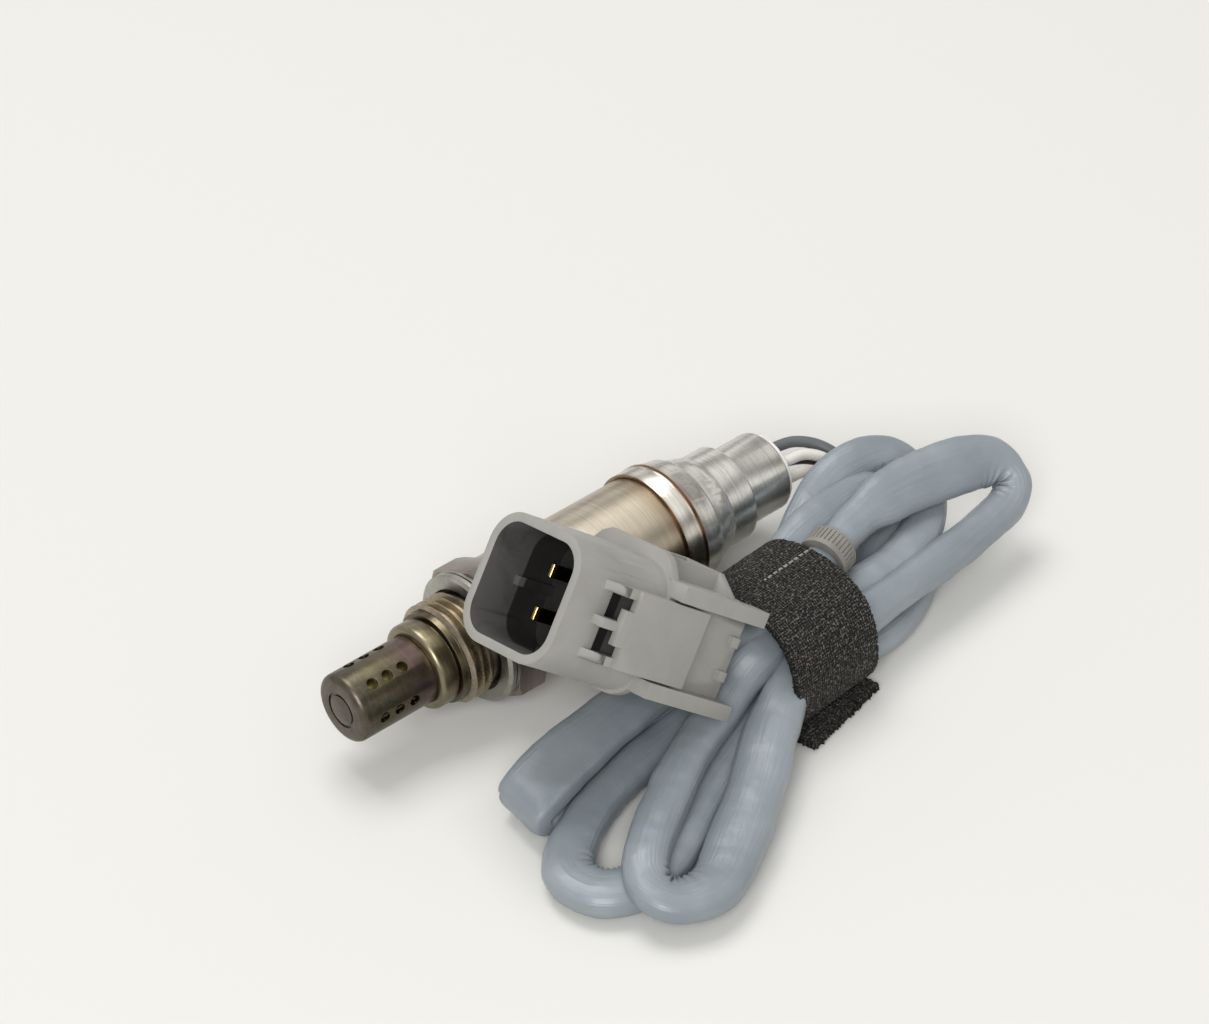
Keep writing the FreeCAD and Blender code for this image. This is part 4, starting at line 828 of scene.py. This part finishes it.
# the middle of the bunch, and how far its wires are from that line
bunch = [(9.9, 0, 12.7), (49.95, 0, 12.7), (55.4, -2.4, 12.6), (58.4, -7, 10.3), (60, -11, 7.2),
         (62.8, -14.6, 5.2)]
bunch_spread = [3.3, 3.3, 2.48, 1.65, 1.45, 1.2]
wire_thick = 2.0
for name, angle in wire_turns.items():
    material, tree, shader = material_with_shader(name + "_insulation", wire_colours[name], 0.4)
    tree.links.new(span(tree, noise_field(tree, 500.0), 0.32, 0.5), shader.inputs["Roughness"])
    bump(tree, shader, noise_field(tree, 1500.0), 0.00002)
    settings = []
    for number, (point, apart) in enumerate(zip(bunch, bunch_spread)):
        place = Vector(point)
        before = Vector(bunch[max(number - 1, 0)])
        after = Vector(bunch[min(number + 1, len(bunch) - 1)])
        ahead = (after - before).normalized()
        side = Vector((0, 0, 1)).cross(ahead).normalized()
        rise = ahead.cross(side)
        turn = math.radians(angle)
        place += (side * math.cos(turn) + rise * math.sin(turn)) * apart
        settings.append((*place, wire_thick, wire_thick, 0))
    wire, wire_line, wire_length = flattened_tube(
        name + "_wire", smooth_curve(name + "_line", settings), settings, 0.6 * mm, 14, material,
        squareness=2.0)
    place_in_scene(
        wire, next(s["material_slot"] for s in record["subparts"] if s["node"] == name), name)

# Cable tie: black hook-and-loop tape, woven with loops on its outside, wrapped once round the
# folds.  It is a strip of tape, and its cut end lies on the table with frayed edges.
tie_width, tie_thick = 18.6, 1.2
tie_centre = Vector((19.7, -30.8, 10.0))
tie_along = Vector((math.cos(math.radians(4.0)), math.sin(math.radians(4.0)), 0.0))
tie_across = Vector((-tie_along.y, tie_along.x, 0.0))
# the strip's line round the folds, from its free end: across, up, and its slip along the folds
wrap = [(-14.2, -8.9, 0.8), (-12.8, -9.1, 0.6), (-10.0, -9.1, 0.3), (-7.0, -9.0, 0.1),
        (-4, -8.9, 0), (2, -8.9, 0), (6.5, -8.8, 0), (9.6, -8.0, 0), (11.8, -6.2, 0),
        (12.7, -3.6, 0), (12.8, 0, 0), (12.7, 3.2, 0.3), (11.9, 5.9, 0.8), (9.9, 8.2, 1.2),
        (7, 9.5, 1.5), (3, 10.0, 1.7), (-1.5, 10.0, 1.6), (-5.6, 9.4, 1.2), (-9.2, 7.8, 0.7),
        (-11.7, 5.0, 0.3), (-12.9, 1.6, 0), (-13.2, -1.8, 0), (-13.0, -4.6, 0), (-12.0, -6.6, 0),
        (-10.0, -7.5, 0), (-7.0, -7.6, 0)]
wrap_places = [tie_centre + tie_across * across + tie_along * slip + Vector((0, 0, up))
               for across, up, slip in wrap]
tape_step = 0.3 * mm
tape_samples, tape_length = even_spacing(
    curve_line(smooth_curve("tape_line", wrap_places, resolution=10)), tape_step)
columns = 62
vertices = []
for row, (place, share) in enumerate(tape_samples):
    for column in range(columns + 1):
        spread = column / columns - 0.5
        ragged = 0.0
        if abs(spread) > 0.47:
            ragged = 0.35 * noise.noise(Vector((row * 0.9, column * 7.0, 3.0)))
        waist = 1.0 + 0.035 * math.sin(share * 9.0)
        offset = tie_along * (spread * tie_width * waist + ragged)
        # the free end is cut askew over its last four millimetres
        free = max(0.0, 1.0 - row * tape_step / (4.0 * mm))
        tail = tie_across * (free * (2.4 * spread - 0.9 - 0.8 * noise.noise(
            Vector((column * 0.8, 1.0, 5.0)))))
        lift = 0.16 * noise.noise_vector(Vector((row * 1.7, column * 1.7, 9.0)))
        vertices.append(place + (offset + tail + lift) * mm)
faces = []
for row in range(len(tape_samples) - 1):
    for column in range(columns):
        first = row * (columns + 1) + column
        faces.append((first, first + 1, first + columns + 2, first + columns + 1))
tape_fabric, tree, shader = material_with_shader("tie_fabric", linear(46, 44, 42), 0.9)
# loops stand in rows across the tape; a line of paler stitches crosses it near the top
along_tape = tree.nodes.new("ShaderNodeTexCoord")
loops = tree.nodes.new("ShaderNodeTexVoronoi")
loops.inputs["Scale"].default_value = 2.1
loops.inputs["Randomness"].default_value = 0.3
tree.links.new(along_tape.outputs["UV"], loops.inputs["Vector"])
fibres = noise_field(tree, 2500.0, 3.0, 0.7, warp=0.6)
height = calculate(tree, "MULTIPLY_ADD", loops.outputs["Distance"], 0.55, fibres)
# colour by the loops' height: painted shade in the hollows between loops, painted highlight on
# their tops
loop_shade_and_highlight = ramp(tree, height, [
    (0.58, linear(5, 5, 5)), (0.70, linear(25, 24, 23)), (0.80, linear(56, 54, 51)),
    (0.93, linear(126, 123, 116))])
tape_parts = tree.nodes.new("ShaderNodeSeparateXYZ")
tree.links.new(along_tape.outputs["UV"], tape_parts.inputs["Vector"])
stitch_row = calculate(tree, "COMPARE", tape_parts.outputs["Y"], 49.5, 0.22)
stitch_gaps = calculate(tree, "PINGPONG", tape_parts.outputs["X"], 0.65)
stitches = calculate(tree, "MULTIPLY", calculate(tree, "GREATER_THAN", stitch_gaps, 0.22),
                     calculate(tree, "GREATER_THAN", tape_parts.outputs["X"], 7.0))
stitched = calculate(tree, "MULTIPLY", stitches, stitch_row)
tree.links.new(blend_colours(tree, "MIX", stitched, loop_shade_and_highlight, linear(168, 165, 157)),
               shader.inputs["Base Color"])
tree.links.new(span(tree, fibres, 0.8, 1.0), shader.inputs["Roughness"])
shader.inputs["Sheen Weight"].default_value = 0.03
shader.inputs["Specular IOR Level"].default_value = 0.2
bump(tree, shader, height, 0.0006)
tie = mesh_object("cable_tie_tape", vertices, faces, tape_fabric)
tape_map = tie.data.uv_layers.new(name="tape")
for corner in tie.data.loops:
    row, column = divmod(corner.vertex_index, columns + 1)
    tape_map.data[corner.index].uv = (column / columns * tie_width, row * tape_step / mm)
backing = tie.modifiers.new("backing", "SOLIDIFY")
backing.thickness = tie_thick * mm
backing.offset = 0.0
pick(tie)
bpy.ops.object.modifier_apply(modifier=backing.name)
face_outwards(tie)
place_in_scene(tie, "tie_fabric", "cable_tie")

# Table and light: a plain pale table top, painted matt, under one soft light from above and one
# from the front.  It only carries the sensor, and is no part of it.
bpy.ops.object.select_all(action="DESELECT")
bpy.ops.mesh.primitive_plane_add(size=6.0, location=(0, 0, 0))
table = bpy.context.object
table.name = "table"
material, tree, shader = material_with_shader("table_top", linear(225, 224, 220), 0.9)
shader.inputs["Specular IOR Level"].default_value = 0.1
table.data.materials.append(material)
world = bpy.data.worlds.new("studio")
scene.world = world
world.use_nodes = True
tree = world.node_tree
plain = tree.nodes["Background"]
plain.inputs["Color"].default_value = (*linear(243, 242, 240), 1.0)
plain.inputs["Strength"].default_value = 0.48
# metal mirrors a white tent with darker gaps between its panels, and the camera sees a pale wall
tent = tree.nodes.new("ShaderNodeBackground")
direction = tree.nodes.new("ShaderNodeTexCoord")
parts = tree.nodes.new("ShaderNodeSeparateXYZ")
tree.links.new(direction.outputs["Generated"], parts.inputs["Vector"])
tree.links.new(ramp(tree, parts.outputs["Z"], [
    (0.00, (0.30, 0.29, 0.28)), (0.10, (0.24, 0.23, 0.22)), (0.22, (1.1, 1.1, 1.08)),
    (0.38, (1.2, 1.2, 1.18)), (0.50, (0.30, 0.29, 0.28)), (0.62, (0.34, 0.33, 0.32)),
    (0.74, (1.3, 1.3, 1.28)), (1.00, (1.2, 1.2, 1.18))]), tent.inputs["Color"])
backdrop = tree.nodes.new("ShaderNodeBackground")
backdrop.inputs["Color"].default_value = (*linear(236, 236, 232), 1.0)
light_path = tree.nodes.new("ShaderNodeLightPath")
before = plain
for ray, seen in (("Is Glossy Ray", tent), ("Is Camera Ray", backdrop)):
    choice = tree.nodes.new("ShaderNodeMixShader")
    tree.links.new(light_path.outputs[ray], choice.inputs["Fac"])
    tree.links.new(before.outputs[0], choice.inputs[1])
    tree.links.new(seen.outputs[0], choice.inputs[2])
    before = choice
tree.links.new(before.outputs[0], tree.nodes["World Output"].inputs["Surface"])


def softbox(name, place, aim, size, power):
    """A square soft light."""
    data = bpy.data.lights.new(name, "AREA")
    data.shape = "SQUARE"
    data.size = size
    data.energy = power
    lamp = bpy.data.objects.new(name, data)
    lamp.location = place
    lamp.rotation_euler = (Vector(aim) - Vector(place)).to_track_quat("-Z", "Y").to_euler()
    scene.collection.objects.link(lamp)


softbox("top_light", (0.15, 0.60, 1.5), (0, -0.02, 0), 0.9, 12.5)
softbox("front_light", (-1.14, -1.0, 1.22), (0, 0, 0), 0.8, 22.0)
scene.view_settings.view_transform = "Standard"
